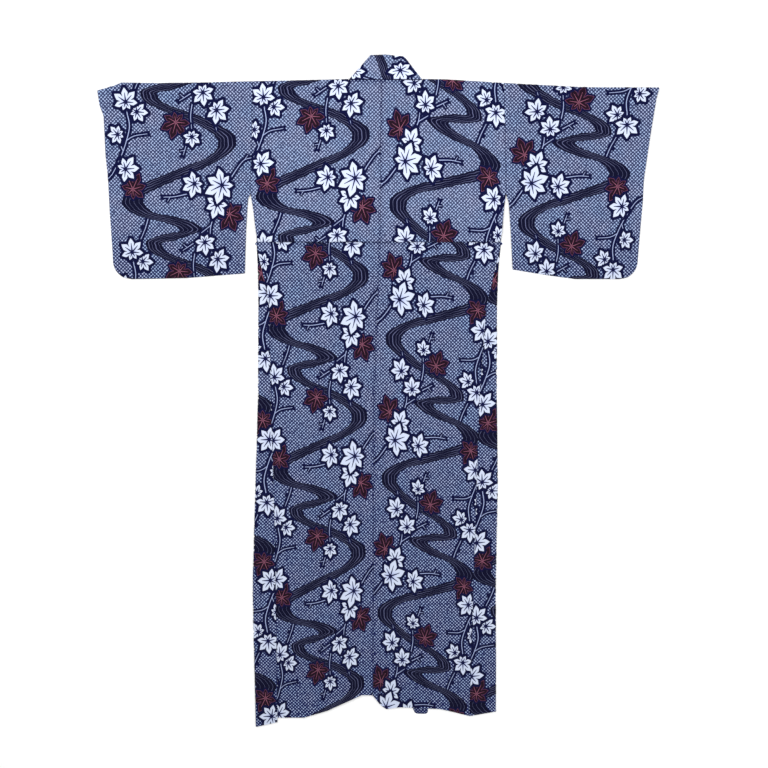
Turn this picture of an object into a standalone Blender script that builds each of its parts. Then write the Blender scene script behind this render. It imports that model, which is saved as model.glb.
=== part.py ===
"""Cotton yukata laid face down on a flat surface, its back on top and both sleeves spread.

The cloth is cut as the garment is: a length for each half of the body, from the back hem over the
shoulder to the front hem, an overlap panel for each front, a folded tube for each sleeve and one
long folded collar band. X runs across the back, +Y towards the collar, +Z up.
A place on the laid garment is given by x and by its depth, the distance below the shoulder line.
"""

import bpy
import numpy as np
from math import cos, pi, radians, sin, sqrt

# Driving sizes in metres
CLOTH = 0.0012
SEAM_GAP = 0.0003
LAYER_GAP = 0.0004
FLOOR_LAYER = CLOTH / 2
TOP_LAYER = 0.0039

BAND_LEAF = 0.0010
BAND_HALF = 0.0007
BAND_WIDTH = 0.057
BAND_THICK = 2 * BAND_HALF + BAND_LEAF
BAND_FOLD = 0.0020
BAND_BASE = BAND_THICK / 2

NECK_LEFT = -0.0884
NECK_RIGHT = 0.0956
COLLAR_TOP_LEFT = (-0.0333, -0.0568)
COLLAR_TOP_RIGHT = (0.0499, -0.0540)
COLLAR_TOP = -0.0578

ARMHOLE = 0.280
FREE_EDGE_END = 0.405
WRAP_STEPS = ((0.405, 0.0), (0.415, 0.34), (0.430, 0.67), (0.445, 1.0))
EDGE_ARC_STEPS = 4

TUCK_DEPTH = 0.400
TUCK_FOLD = 0.010
TUCK_RADIUS = (CLOTH + LAYER_GAP) / 2
TUCK_EASE = 0.085

FRONT_LIFT = BAND_THICK + LAYER_GAP
PANEL_LIFT = CLOTH + LAYER_GAP
BAND_END = 0.812
BAND_END_DROP = 0.010

HEM_START = 1.41
SLEEVE_CORNER = 0.045
WRIST_OPENING = 0.225

# Sections across the body: depth, x of the left edge, centre back seam and right edge
SECTIONS = (
    (0.00, -0.325, -0.006, 0.297),
    (0.14, -0.329, -0.008, 0.302),
    (0.28, -0.335, -0.009, 0.306),
    (0.31, -0.330, -0.009, 0.302),
    (0.38, -0.322, -0.010, 0.297),
    (0.47, -0.320, -0.013, 0.290),
    (0.56, -0.320, -0.017, 0.288),
    (0.80, -0.325, -0.026, 0.291),
    (1.02, -0.335, -0.027, 0.297),
    (1.32, -0.348, -0.028, 0.296),
    (1.70, -0.345, -0.030, 0.302),
)
DEPTH, LEFT_EDGE, CENTRE, RIGHT_EDGE = np.array(SECTIONS).T

# Width of each front that wraps round the side edge onto the back: depth, left, right
WRAPS = (
    (0.445, 0.003, 0.003),
    (0.500, 0.015, 0.012),
    (0.560, 0.025, 0.025),
    (0.800, 0.031, 0.043),
    (1.020, 0.045, 0.053),
    (1.320, 0.060, 0.058),
    (1.700, 0.056, 0.071),
)
WRAP_DEPTH, WRAP_LEFT, WRAP_RIGHT = np.array(WRAPS).T

# Inner edge of each front: depth, left x, right x. It is the neck edge, then the overlap panel's seam
FRONT_EDGES = (
    (0.00, NECK_LEFT, NECK_RIGHT),
    (0.25, -0.046, 0.046),
    (1.70, -0.047, 0.036),
)
FRONT_DEPTH, FRONT_LEFT, FRONT_RIGHT = np.array(FRONT_EDGES).T

# Seam of the collar band on the fronts, and the free front edge of the overlap panels
BAND_LINES = (
    (0.00, NECK_LEFT, NECK_RIGHT),
    (0.25, -0.046, 0.046),
    (BAND_END, 0.061, -0.073),
)
BAND_DEPTH, BAND_LEFT, BAND_RIGHT = np.array(BAND_LINES).T
OVERLAP_EDGE_LEFT = 0.118
OVERLAP_EDGE_RIGHT = -0.130

# Hem of the back: x, depth
BACK_HEM = (
    (-0.290, 1.667),
    (-0.215, 1.667),
    (-0.152, 1.647),
    (-0.104, 1.624),
    (-0.060, 1.602),
    (-0.030, 1.603),
    (-0.010, 1.630),
    (0.006, 1.642),
    (0.043, 1.637),
    (0.150, 1.642),
    (0.183, 1.650),
    (0.232, 1.663),
)
# Hem of the fronts where they lie underneath: x, depth
FRONT_HEM = (
    (-0.345, 1.693),
    (-0.290, 1.668),
    (-0.215, 1.657),
    (-0.152, 1.637),
    (-0.104, 1.614),
    (-0.060, 1.593),
    (-0.030, 1.594),
    (0.006, 1.620),
    (0.150, 1.632),
    (0.232, 1.652),
    (0.302, 1.650),
)
# Hem of the left overlap panel, whose corner shows below the back: x, depth
OVERLAP_HEM = (
    (-0.047, 1.594),
    (0.010, 1.620),
    (0.075, 1.636),
    (0.084, 1.657),
    (0.118, 1.658),
)
WRAP_HEM_LEFT = (1.693, 1.680)
WRAP_HEM_RIGHT = (1.650, 1.663)

# Fold along the shoulders and the tops of the sleeves: x, depth
SHOULDER = (
    (-0.710, 0.0277),
    (-0.664, 0.0144),
    (-0.651, 0.0084),
    (-0.555, 0.0096),
    (-0.443, 0.0084),
    (-0.325, 0.0055),
    (-0.089, 0.0004),
    (0.096, 0.0004),
    (0.154, 0.0010),
    (0.297, 0.0096),
    (0.486, 0.0192),
    (0.682, 0.0204),
)
# Outer edge of each sleeve: depth, x
SLEEVE_OUTER_LEFT = (
    (0.028, -0.710),
    (0.064, -0.7055),
    (0.089, -0.6965),
    (0.187, -0.695),
    (0.231, -0.6915),
    (0.325, -0.690),
    (0.435, -0.686),
)
SLEEVE_OUTER_RIGHT = (
    (0.020, 0.682),
    (0.048, 0.675),
    (0.138, 0.663),
    (0.241, 0.651),
    (0.295, 0.6505),
    (0.373, 0.646),
    (0.450, 0.642),
)
# Inner edge of each sleeve: depth, x. It is the armhole seam, then the open edge below it
SLEEVE_INNER_LEFT = (
    (0.000, -0.325),
    (0.140, -0.329),
    (0.280, -0.335),
    (0.293, -0.3415),
    (0.373, -0.348),
    (0.480, -0.353),
)
SLEEVE_INNER_RIGHT = (
    (0.000, 0.297),
    (0.140, 0.302),
    (0.280, 0.306),
    (0.303, 0.3135),
    (0.373, 0.3195),
    (0.470, 0.326),
)
# Bottom edge of each sleeve: x, depth
SLEEVE_BOTTOM_LEFT = ((-0.640, 0.4933), (-0.504, 0.4907), (-0.353, 0.479))
SLEEVE_BOTTOM_RIGHT = ((0.328, 0.4695), (0.416, 0.483), (0.498, 0.4933), (0.600, 0.4933))

# Broad soft swells of the upper layer: x, depth, half width, half length, height
SWELLS = (
    (-0.215, 0.560, 0.075, 0.16, 0.0009),
    (0.200, 0.330, 0.060, 0.14, 0.0007),
    (-0.130, 0.960, 0.070, 0.22, 0.0010),
    (0.110, 1.080, 0.075, 0.24, 0.0011),
    (-0.205, 1.330, 0.065, 0.20, 0.0009),
    (0.165, 1.420, 0.060, 0.18, 0.0009),
    (-0.060, 1.610, 0.080, 0.13, 0.0016),
    (-0.520, 0.220, 0.100, 0.15, 0.0009),
    (0.490, 0.270, 0.090, 0.14, 0.0009),
)

BACK_ROWS = (0.50, 0.56, 0.66, 0.78, 0.90, 1.02, 1.15, 1.28, 1.41, 1.50, 1.58, 1.64, 1.70)
UPPER_ROWS = (0.06, 0.11, 0.17, 0.23, 0.28, 0.31, 0.345, 0.384)
NECK_FAN = 4
NECK_FAN_SPREAD = 0.042
COLUMNS = 10
SHOULDER_STEPS = 4
SLANT_STEPS = 4
TUCK_STEPS = 4
BAND_EDGE_STEPS = 2
UNDER_SHARES = (0.0, 0.33, 0.52, 0.76, 1.0)
SLEEVE_ROWS = (0.02, 0.09, 0.17, 0.28, 0.38, 0.47, 0.565, 0.61, 0.70, 0.80, 0.875, 0.93, 0.975, 1.0)
SLEEVE_SHARES = (0.0, 0.13, 0.27, 0.41, 0.55, 0.69, 0.83, 0.955, 1.0)
OVERLAP_SHARES = (0.0, 0.34, 0.67, 1.0)
OVERLAP_ROWS = (0.29, 0.38, 0.48, 0.58, 0.66, 0.74)
BAND_ROWS = (0.02, 0.045, 0.08, 0.12, 0.16, 0.20, 0.25, 0.32, 0.40, 0.48, 0.56, 0.64, 0.73, BAND_END)
BAND_SQUARE = 0.16
BAND_SKEW = 0.045


def smooth(value, start, end):
    """Rises softly from 0 at start to 1 at end, which may be the smaller."""
    share = np.clip((value - start) / (end - start), 0.0, 1.0)
    return share * share * (3 - 2 * share)


def near(value, middle, full, gone):
    """1 within full of the middle, fading to 0 at gone."""
    return 1 - smooth(abs(value - middle), full, gone)


def table(value, rows):
    """Reads a two-column table between its rows."""
    keys, values = np.array(rows).T
    return float(np.interp(value, keys, values))


def side_edge(side, depth):
    edges = LEFT_EDGE if side < 0 else RIGHT_EDGE
    return float(np.interp(depth, DEPTH, edges))


def wrap_width(side, depth):
    widths = WRAP_LEFT if side < 0 else WRAP_RIGHT
    return float(np.interp(depth, WRAP_DEPTH, widths))


def centre_seam(depth):
    return float(np.interp(depth, DEPTH, CENTRE))


def front_edge(side, depth):
    edges = FRONT_LEFT if side < 0 else FRONT_RIGHT
    return float(np.interp(depth, FRONT_DEPTH, edges))


def band_line(side, depth):
    edges = BAND_LEFT if side < 0 else BAND_RIGHT
    return float(np.interp(depth, BAND_DEPTH, edges))


def front_lift(x, depth):
    """How far the right front is carried by the left front and band that lie under it."""
    across = smooth(x, 0.172, 0.128)
    below_neck = smooth(depth, 0.05, 0.15)
    past_band = smooth(depth, BAND_END + 0.03, BAND_END + 0.12)
    lift = FRONT_LIFT + (PANEL_LIFT - FRONT_LIFT) * past_band
    return lift * across * below_neck


def swells(x, depth):
    total = 0.0
    for middle, down, half_width, half_length, height in SWELLS:
        total += height * near(x, middle, 0.0, half_width) * near(depth, down, 0.0, half_length)
    return total


def top_height(x, depth):
    """Height of the middle of the upper layer, over all that lies beneath."""
    neck = near(x, 0.003, 0.095, 0.17) * smooth(depth, 0.13, 0.04)
    band_middle = band_line(1, depth) - BAND_WIDTH / 2
    over_front = smooth(x, 0.195, 0.137) * smooth(x, band_middle - 0.11, band_middle - 0.05)
    over_front *= smooth(depth, 0.06, 0.16)
    over_band = near(x, band_middle, 0.045, 0.085) * smooth(depth, 0.06, 0.15)
    over_band *= smooth(depth, BAND_END + 0.11, BAND_END + 0.03)
    height = TOP_LAYER + 0.0013 * neck + 0.0011 * over_front + 0.0012 * over_band
    return height + swells(x, depth)


def hem_depth(depth, x, hem):
    """Depth of a row near the hem, drawn towards the hem's own line."""
    if depth <= HEM_START:
        return depth
    share = (depth - HEM_START) / (BACK_ROWS[-1] - HEM_START)
    return HEM_START + share * (hem - HEM_START)


def place(x, depth, height):
    return (x, -depth, height)


def wrap_path(side, depth, turn):
    """Points of a front's edge that turns round the side of the body, from where it leaves the floor."""
    radius = (TOP_LAYER - FLOOR_LAYER) / 2
    step = pi * radius / EDGE_ARC_STEPS
    strip = wrap_width(side, depth)
    lengths = [step] * EDGE_ARC_STEPS + [strip / 2] * 2
    across = [0.0]
    up = [0.0]
    for index, length in enumerate(lengths):
        share = min((index + 0.5) / EDGE_ARC_STEPS, 1.0)
        angle = pi * turn * share
        across.append(across[-1] + length * cos(angle))
        up.append(up[-1] + length * sin(angle))
    reach = max(across)
    outside = side_edge(side, depth) - side * CLOTH / 2 * turn
    rise = (TOP_LAYER - FLOOR_LAYER) * turn / max(up) if turn > 0 else 0.0
    return [(outside + side * (a - reach), FLOOR_LAYER + b * rise) for a, b in zip(across, up)]


def wrap_turn(depth):
    depths, turns = np.array(WRAP_STEPS).T
    return float(np.interp(depth, depths, turns))


def back_side(side, depth):
    """X of the back's own side edge: armhole seam, free edge or side seam."""
    edge = side_edge(side, depth)
    if depth <= ARMHOLE:
        return edge - side * SEAM_GAP / 2
    if depth <= FREE_EDGE_END:
        return edge - side * 0.0035 * smooth(depth, 0.37, FREE_EDGE_END)
    end = wrap_path(side, depth, wrap_turn(depth))[-1][0]
    clear = SEAM_GAP + 0.0022 * (1 - wrap_turn(depth))
    return end - side * max(clear, 0.0035 * (1 - smooth(depth, FREE_EDGE_END, 0.415)))


def back_row(side, depth, lift=0.0):
    """One row across the back, from the centre seam to the side."""
    inner = centre_seam(depth) + side * SEAM_GAP / 2
    outer = back_side(side, depth)
    row = []
    for column in range(COLUMNS + 1):
        x = inner + (outer - inner) * column / COLUMNS
        down = hem_depth(depth, x, table(x, BACK_HEM))
        row.append(place(x, down, top_height(x, down) + lift))
    return row


def tuck_rows(side):
    """The waist tuck: the cloth turns up under itself, down again and on, as three layers."""
    rows = []
    top = TUCK_DEPTH - TUCK_FOLD
    for index in range(TUCK_STEPS + 1):
        angle = pi * index / TUCK_STEPS
        down = top - TUCK_RADIUS * sin(angle)
        rows.append((down, TUCK_RADIUS * (1 - cos(angle))))
    for index in range(TUCK_STEPS + 1):
        angle = pi * index / TUCK_STEPS
        down = TUCK_DEPTH - TUCK_RADIUS + TUCK_RADIUS * sin(angle)
        rows.append((down, TUCK_RADIUS * (3 - cos(angle))))
    result = []
    for down, lift in rows:
        row = []
        for x, y, height in back_row(side, TUCK_DEPTH - TUCK_FOLD / 2):
            row.append((x, -down, height + lift))
        result.append(row)
    return result


def tuck_lift(depth):
    """What is left of the tuck's height in the cloth above it."""
    return 4 * TUCK_RADIUS * smooth(depth, TUCK_DEPTH - TUCK_EASE, UPPER_ROWS[-1])


def neck_rows(side):
    """Rows that fan out along the back neck, until only the shoulder is left."""
    neck = NECK_LEFT if side < 0 else NECK_RIGHT
    rows = []
    for index in range(NECK_FAN):
        share = index / NECK_FAN
        inner = centre_seam(0.0) + side * SEAM_GAP / 2
        inner += (neck - inner) * share
        outer_depth = NECK_FAN_SPREAD * (1 - share)
        outer = back_side(side, outer_depth)
        row = []
        for column in range(COLUMNS + 1):
            across = column / COLUMNS
            x = inner + (outer - inner) * across
            down = fold_start(x) + outer_depth * across
            row.append(place(x, down, top_height(x, down)))
        rows.append(row)
    return rows


def fold_radius(x):
    return (top_height(x, 0.0) - FLOOR_LAYER) / 2


def fold_start(x):
    """Depth at which the upper layer starts to turn over the shoulder."""
    return table(x, SHOULDER) + CLOTH / 2 + fold_radius(x)


def shoulder_rows(side):
    """The fold over the shoulder, from the upper layer down to the floor."""
    neck = NECK_LEFT if side < 0 else NECK_RIGHT
    outer = side_edge(side, 0.0) - side * SEAM_GAP / 2
    rows = []
    for index in range(SHOULDER_STEPS + 1):
        angle = pi * index / SHOULDER_STEPS
        row = []
        for column in range(COLUMNS + 1):
            x = neck + (outer - neck) * column / COLUMNS
            radius = fold_radius(x)
            down = fold_start(x) - radius * sin(angle)
            row.append(place(x, down, FLOOR_LAYER + radius * (1 + cos(angle))))
        rows.append(row)
    return rows


def front_row(side, depth):
    """One row across a front, underneath, and where it wraps up round the side of the body."""
    inner = front_edge(side, depth) + side * SEAM_GAP / 2
    settled = smooth(depth, 0.10, 0.38)
    path = wrap_path(side, max(depth, FREE_EDGE_END), wrap_turn(depth))
    shift = side_edge(side, depth) - side_edge(side, max(depth, FREE_EDGE_END))
    if depth <= ARMHOLE:
        shift -= side * SEAM_GAP / 2
    path = [(x + shift, height) for x, height in path]
    start = path[0][0]
    end = path[-1][0]
    hem_edge, hem_seam = WRAP_HEM_LEFT if side < 0 else WRAP_HEM_RIGHT
    row = []
    for column in range(COLUMNS + 1):
        if column < len(UNDER_SHARES):
            x = inner + (start - inner) * UNDER_SHARES[column]
            height = FLOOR_LAYER
            hem = table(x, FRONT_HEM)
        else:
            x, height = path[column - len(UNDER_SHARES) + 1]
            top_share = max(column - COLUMNS + 2, 0) / 2
            hem = hem_edge + (hem_seam - hem_edge) * top_share
        if settled < 1:
            even = inner + (end - inner) * column / COLUMNS
            x = even + (x - even) * settled
        down = hem_depth(depth, x, hem)
        if side > 0:
            height += front_lift(x, down)
        row.append(place(x, down, height))
    return row


def body_rows(side):
    """A half of the body, from the back hem over the shoulder to the front hem."""
    wrap_rows = [depth for depth, turn in WRAP_STEPS]
    lower = [*wrap_rows, *BACK_ROWS]
    rows = [back_row(side, depth) for depth in reversed(lower)]
    rows += tuck_rows(side)
    rows += [back_row(side, depth, tuck_lift(depth)) for depth in reversed(UPPER_ROWS)]
    rows += neck_rows(side)
    rows += shoulder_rows(side)
    rows += [front_row(side, depth) for depth in (*UPPER_ROWS, *lower)]
    return rows


def sleeve_outer(side, depth):
    """X of a sleeve's outer edge, with its rounded lower corner."""
    rows = SLEEVE_OUTER_LEFT if side < 0 else SLEEVE_OUTER_RIGHT
    bottom = SLEEVE_BOTTOM_LEFT[0][1] if side < 0 else SLEEVE_BOTTOM_RIGHT[-1][1]
    past = depth - (bottom - SLEEVE_CORNER)
    if past <= 0:
        return table(depth, rows)
    past = min(past, SLEEVE_CORNER)
    inset = SLEEVE_CORNER - sqrt(max(SLEEVE_CORNER**2 - past**2, 0.0))
    return table(depth, rows) - side * inset


def sleeve_point(side, across, down):
    """Place on a sleeve: across from its seam to the wrist, down from its top fold."""
    inner_rows = SLEEVE_INNER_LEFT if side < 0 else SLEEVE_INNER_RIGHT
    bottom_rows = SLEEVE_BOTTOM_LEFT if side < 0 else SLEEVE_BOTTOM_RIGHT
    wrist = SLEEVE_OUTER_LEFT[0][1] if side < 0 else SLEEVE_OUTER_RIGHT[0][1]
    top_x = inner_rows[0][1] + (wrist - inner_rows[0][1]) * across
    top = table(top_x, SHOULDER)
    low_inner = inner_rows[-1][1]
    low_outer = wrist - side * SLEEVE_CORNER * 1.4
    bottom = table(low_inner + (low_outer - low_inner) * across, bottom_rows)
    inner_top = table(inner_rows[0][1], SHOULDER)
    outer_top = table(wrist, SHOULDER)
    inner_depth = inner_top + (table(low_inner, bottom_rows) - inner_top) * down
    outer_depth = outer_top + (table(low_outer, bottom_rows) - outer_top) * down
    inner = table(inner_depth, inner_rows) + side * SEAM_GAP / 2
    outer = sleeve_outer(side, outer_depth)
    return inner + (outer - inner) * across, top + (bottom - top) * down


def sleeve_leaf(side, upper):
    """Rows of one leaf of a sleeve, which closes on the other along its sewn edges."""
    pinched = (TOP_LAYER - FLOOR_LAYER - CLOTH - SEAM_GAP) / 2
    rows = []
    for down in SLEEVE_ROWS:
        row = []
        for across in SLEEVE_SHARES:
            x, depth = sleeve_point(side, across, down)
            sewn = max(down >= 1.0, across >= 1.0 and depth > WRIST_OPENING + 0.02)
            if upper:
                soft = swells(x, depth) * (1 - smooth(down, 0.9, 1.0))
                height = TOP_LAYER + soft - pinched * sewn
            else:
                height = FLOOR_LAYER + pinched * sewn
            row.append(place(x, depth, height))
        rows.append(row)
    return rows


def sleeve_rows(side):
    """A sleeve: one length of cloth, folded along its top edge."""
    radius = (TOP_LAYER - FLOOR_LAYER) / 2
    fold = []
    for index in range(1, SHOULDER_STEPS):
        angle = pi * index / SHOULDER_STEPS
        row = []
        for across in SLEEVE_SHARES:
            x, top = sleeve_point(side, across, 0.0)
            down = top + CLOTH / 2 + radius * (1 - sin(angle))
            row.append(place(x, down, FLOOR_LAYER + radius * (1 + cos(angle))))
        fold.append(row)
    return sleeve_leaf(side, True)[::-1] + fold + sleeve_leaf(side, False)


def overlap_rows(side):
    """The narrow panel sewn to a front's inner edge, cut away along the collar band."""
    free = OVERLAP_EDGE_LEFT if side < 0 else OVERLAP_EDGE_RIGHT
    ends = [(depth, band_line(side, depth) + side * SEAM_GAP / 2) for depth in OVERLAP_ROWS]
    ends.append((BAND_END + SEAM_GAP, band_line(side, BAND_END)))
    ends.append((BAND_END + BAND_END_DROP + 2 * SEAM_GAP, free))
    ends += [(depth, free) for depth in BACK_ROWS if depth > 0.85]
    rows = []
    for depth, inner in ends:
        outer = front_edge(side, depth) - side * SEAM_GAP / 2
        row = []
        for share in OVERLAP_SHARES:
            x = outer + (inner - outer) * share
            hem = table(x, OVERLAP_HEM if side < 0 else FRONT_HEM)
            down = hem_depth(depth, x, hem)
            height = FLOOR_LAYER
            if side > 0:
                height += front_lift(x, down)
            row.append(place(x, down, height))
        rows.append(row)
    return rows


def slant(side):
    """Ends of the slanted fold where the band turns from the back neck to the fronts."""
    neck = NECK_LEFT if side < 0 else NECK_RIGHT
    low = (neck - side * SEAM_GAP, fold_start(0.0) - SEAM_GAP)
    high = COLLAR_TOP_LEFT if side < 0 else COLLAR_TOP_RIGHT
    return np.array(low), np.array(high)


def slant_directions(side):
    """Unit directions along the slanted fold and in from it."""
    low, high = slant(side)
    along = (high - low) / np.linalg.norm(high - low)
    inward = np.array((-side * abs(along[1]), abs(along[0])))
    return along, inward


def meet_slant(side, point, direction, inset):
    """Where a line meets the slanted fold moved in by inset."""
    along, inward = slant_directions(side)
    low = slant(side)[0] + inward * inset
    matrix = np.array((direction, -along)).T
    share = np.linalg.solve(matrix, low - np.array(point))[0]
    return np.array(point) + np.array(direction) * share


def band_edges(side, depth):
    """The band's seam edge and fold edge on a front, for a row at this depth."""
    start = np.array((band_line(side, depth) - side * SEAM_GAP / 2, depth))
    slope = (band_line(side, 0.5) - band_line(side, 0.1)) / 0.4
    across = np.array((1.0, -side * slope)) * -side / sqrt(1 + slope**2)
    square = start + across * BAND_WIDTH
    skewed = np.array((square[0], square[1] - BAND_SKEW))
    level = smooth(depth, 0.0, BAND_SQUARE)
    end = skewed + (square - skewed) * level
    if depth == BAND_END:
        end[1] = depth + BAND_END_DROP
    return start, end


def band_half(side):
    """Edges and height of the band's middle, from the centre back to one front end."""
    rest = BAND_FOLD + BAND_BASE
    neck_line = fold_start(0.0) - SEAM_GAP
    top_depth = slant(side)[1][1] + BAND_BASE * 0.3
    seam_end = meet_slant(side, (0.0, neck_line), (1.0, 0.0), rest)
    fold_end = meet_slant(side, (0.0, top_depth), (1.0, 0.0), rest)
    rows = []
    upper = BAND_BASE + 2 * BAND_FOLD
    for share in (0.0, 0.33, 0.67):
        middle = (NECK_LEFT + NECK_RIGHT) / 2
        start = np.array((middle, neck_line)) * (1 - share) + seam_end * share
        end = np.array((middle, COLLAR_TOP)) * (1 - share) + fold_end * share
        rows.append((start, end, upper))
    first = band_edges(side, BAND_ROWS[0])
    under_start = meet_slant(side, first[0], (band_line(side, 0.02) - band_line(side, 0.0), 0.02), rest)
    under_end = meet_slant(side, first[1], (0.0, 1.0), rest)
    if under_end[1] < fold_end[1]:
        under_end = fold_end + (seam_end - fold_end) * 0.03
    inward = slant_directions(side)[1]
    for index in range(SLANT_STEPS + 1):
        angle = pi * index / SLANT_STEPS
        share = index / SLANT_STEPS
        out = inward * BAND_FOLD * sin(angle)
        start = seam_end + (under_start - seam_end) * share - out
        end = fold_end + (under_end - fold_end) * share - out
        rows.append((start, end, BAND_BASE + BAND_FOLD * (1 + cos(angle))))
    for depth in BAND_ROWS:
        start, end = band_edges(side, depth)
        rows.append((start, end, BAND_BASE))
    return rows


def band_middle_rows():
    """All rows of the band, from the end on the left front to the end on the right front."""
    left = [(-1, row) for row in reversed(band_half(-1))]
    right = [(1, row) for row in band_half(1)[1:]]
    return left + right


def collar_rows():
    """The collar band: folded along its free edge, so that both its leaves end at the seam."""
    middles = []
    for side, (start, end, height) in band_middle_rows():
        line = []
        for share in (0.0, 0.5, 1.0):
            x, depth = start + (end - start) * share
            lift = 0.0
            if side > 0 and height == BAND_BASE:
                lift = front_lift(x, depth)
            line.append(place(x, depth, height + lift))
        middles.append(line)
    middles = np.array(middles)
    offsets = wall_offsets(middles, 1.0)
    rows = []
    for line, normals in zip(middles, offsets):
        row = []
        for index in range(2):
            row.append(line[index] + normals[index] * BAND_HALF)
        edge = line[2]
        outward = edge - line[0]
        outward /= np.linalg.norm(outward)
        centre = edge - outward * BAND_HALF
        for index in range(BAND_EDGE_STEPS + 1):
            angle = pi * index / BAND_EDGE_STEPS
            turned = normals[2] * cos(angle) + outward * sin(angle)
            row.append(centre + turned * BAND_HALF)
        for index in (1, 0):
            row.append(line[index] - normals[index] * BAND_HALF)
        rows.append(row)
    return rows


def face_normals(grid):
    """Unit normals of a grid's quads."""
    first = grid[1:, 1:] - grid[:-1, :-1]
    second = grid[:-1, 1:] - grid[1:, :-1]
    normals = np.cross(first, second)
    return normals / np.linalg.norm(normals, axis=2, keepdims=True)


def wall_offsets(grid, thickness):
    """How far each point moves out so that every face beside it moves out by the thickness."""
    normals = face_normals(grid)
    rows, columns = grid.shape[:2]
    offsets = np.zeros(grid.shape)
    for row in range(rows):
        for column in range(columns):
            beside = normals[max(row - 1, 0) : row + 1, max(column - 1, 0) : column + 1].reshape(-1, 3)
            target = np.full(len(beside), thickness)
            offsets[row, column] = np.linalg.lstsq(beside, target, rcond=0.12)[0]
    return offsets


def make_wall(name, rows, thickness, material, flip=False):
    """A closed wall of cloth about a grid of points in its middle."""
    grid = np.array(rows, dtype=float)
    if flip:
        grid = grid[:, ::-1]
    offsets = wall_offsets(grid, thickness / 2)
    row_count, column_count = grid.shape[:2]
    outer = (grid + offsets).reshape(-1, 3)
    inner = (grid - offsets).reshape(-1, 3)
    points = np.concatenate((outer, inner))
    half = row_count * column_count

    def at(row, column, below=False):
        return row * column_count + column + (half if below else 0)

    faces = []
    for row in range(row_count - 1):
        for column in range(column_count - 1):
            corners = ((row, column), (row + 1, column), (row + 1, column + 1), (row, column + 1))
            faces.append([at(*corner) for corner in corners])
            faces.append([at(*corner, True) for corner in reversed(corners)])
    rim = [(0, column) for column in range(column_count)]
    rim += [(row, column_count - 1) for row in range(1, row_count)]
    rim += [(row_count - 1, column) for column in range(column_count - 2, -1, -1)]
    rim += [(row, 0) for row in range(row_count - 2, 0, -1)]
    for here, following in zip(rim, rim[1:] + rim[:1]):
        faces.append([at(*here), at(*following), at(*following, True), at(*here, True)])
    mesh = bpy.data.meshes.new(name)
    mesh.from_pydata(points.tolist(), [], faces)
    mesh.materials.append(material)
    mesh.validate()
    mesh.shade_smooth()
    mesh.set_sharp_from_angle(angle=radians(50))
    piece = bpy.data.objects.new(name, mesh)
    bpy.context.scene.collection.objects.link(piece)
    return piece


def cotton(name, colour):
    """Plain matt cotton in the print's mean colour."""
    material = bpy.data.materials.new(name)
    material.use_nodes = True
    shader = material.node_tree.nodes["Principled BSDF"]
    shader.inputs["Base Color"].default_value = (*colour, 1.0)
    shader.inputs["Roughness"].default_value = 0.85
    shader.inputs["Metallic"].default_value = 0.0
    return material


def centre_on_floor(pieces):
    """Moves the meshes so that the origin is at the middle of the box, on the floor."""
    corners = np.array([vertex.co for piece in pieces for vertex in piece.data.vertices])
    low = corners.min(axis=0)
    high = corners.max(axis=0)
    shift = np.array(((low[0] + high[0]) / 2, (low[1] + high[1]) / 2, low[2]))
    for piece in pieces:
        for vertex in piece.data.vertices:
            vertex.co = np.array(vertex.co) - shift


def main():
    for old in list(bpy.data.objects):
        bpy.data.objects.remove(old, do_unlink=True)
    navy = cotton("body_cotton", (0.16, 0.18, 0.27))
    panel = cotton("overlap_cotton", (0.15, 0.17, 0.26))
    sleeve = cotton("sleeve_cotton", (0.17, 0.19, 0.28))
    band = cotton("collar_cotton", (0.18, 0.20, 0.30))
    pieces = []
    for side, word in ((-1, "left"), (1, "right")):
        mirrored = side > 0
        pieces.append(make_wall(f"body_{word}", body_rows(side), CLOTH, navy, mirrored))
        pieces.append(make_wall(f"overlap_{word}", overlap_rows(side), CLOTH, panel, not mirrored))
        pieces.append(make_wall(f"sleeve_{word}", sleeve_rows(side), CLOTH, sleeve, mirrored))
    pieces.append(make_wall("collar", collar_rows(), BAND_LEAF, band))
    centre_on_floor(pieces)


main()
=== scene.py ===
"""Looks of the cotton yukata that lies face down, its back on top and both sleeves spread.

Every panel is a thin shell on the outer face of its solid. The print is cut into the shell's own mesh:
motifs are charted in the cloth's coordinates and each face carries the colour of the dye it lies in,
darkened by painted shade in the seams, round the neck and towards the hem.
A place on the laid garment is given by x and by its depth, the distance below the shoulder line.
"""

import bpy
import numpy as np
from collections import namedtuple
from functools import partial
from math import cos, pi, radians, sin, sqrt
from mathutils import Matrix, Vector
from mathutils.geometry import delaunay_2d_cdt


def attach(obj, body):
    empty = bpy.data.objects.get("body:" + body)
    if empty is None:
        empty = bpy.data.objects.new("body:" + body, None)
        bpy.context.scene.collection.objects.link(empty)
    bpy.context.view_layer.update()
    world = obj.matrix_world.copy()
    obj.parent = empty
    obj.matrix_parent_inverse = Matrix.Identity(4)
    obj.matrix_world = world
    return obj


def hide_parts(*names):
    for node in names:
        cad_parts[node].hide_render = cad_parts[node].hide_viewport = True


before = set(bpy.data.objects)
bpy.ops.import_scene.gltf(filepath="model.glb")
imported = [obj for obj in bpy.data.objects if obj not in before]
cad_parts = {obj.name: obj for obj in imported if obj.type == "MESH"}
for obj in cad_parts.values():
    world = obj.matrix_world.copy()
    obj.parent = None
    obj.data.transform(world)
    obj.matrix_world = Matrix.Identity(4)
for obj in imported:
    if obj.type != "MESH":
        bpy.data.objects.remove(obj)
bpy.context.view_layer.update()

# Where the laid coordinates lie in the row frame
SHIFT = np.array((0.0141378, 0.8172536, 0.0000301))

# The wearer's sides, which are also the picture's: x grows from left to right
LEFT, RIGHT = -1, 1

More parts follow.
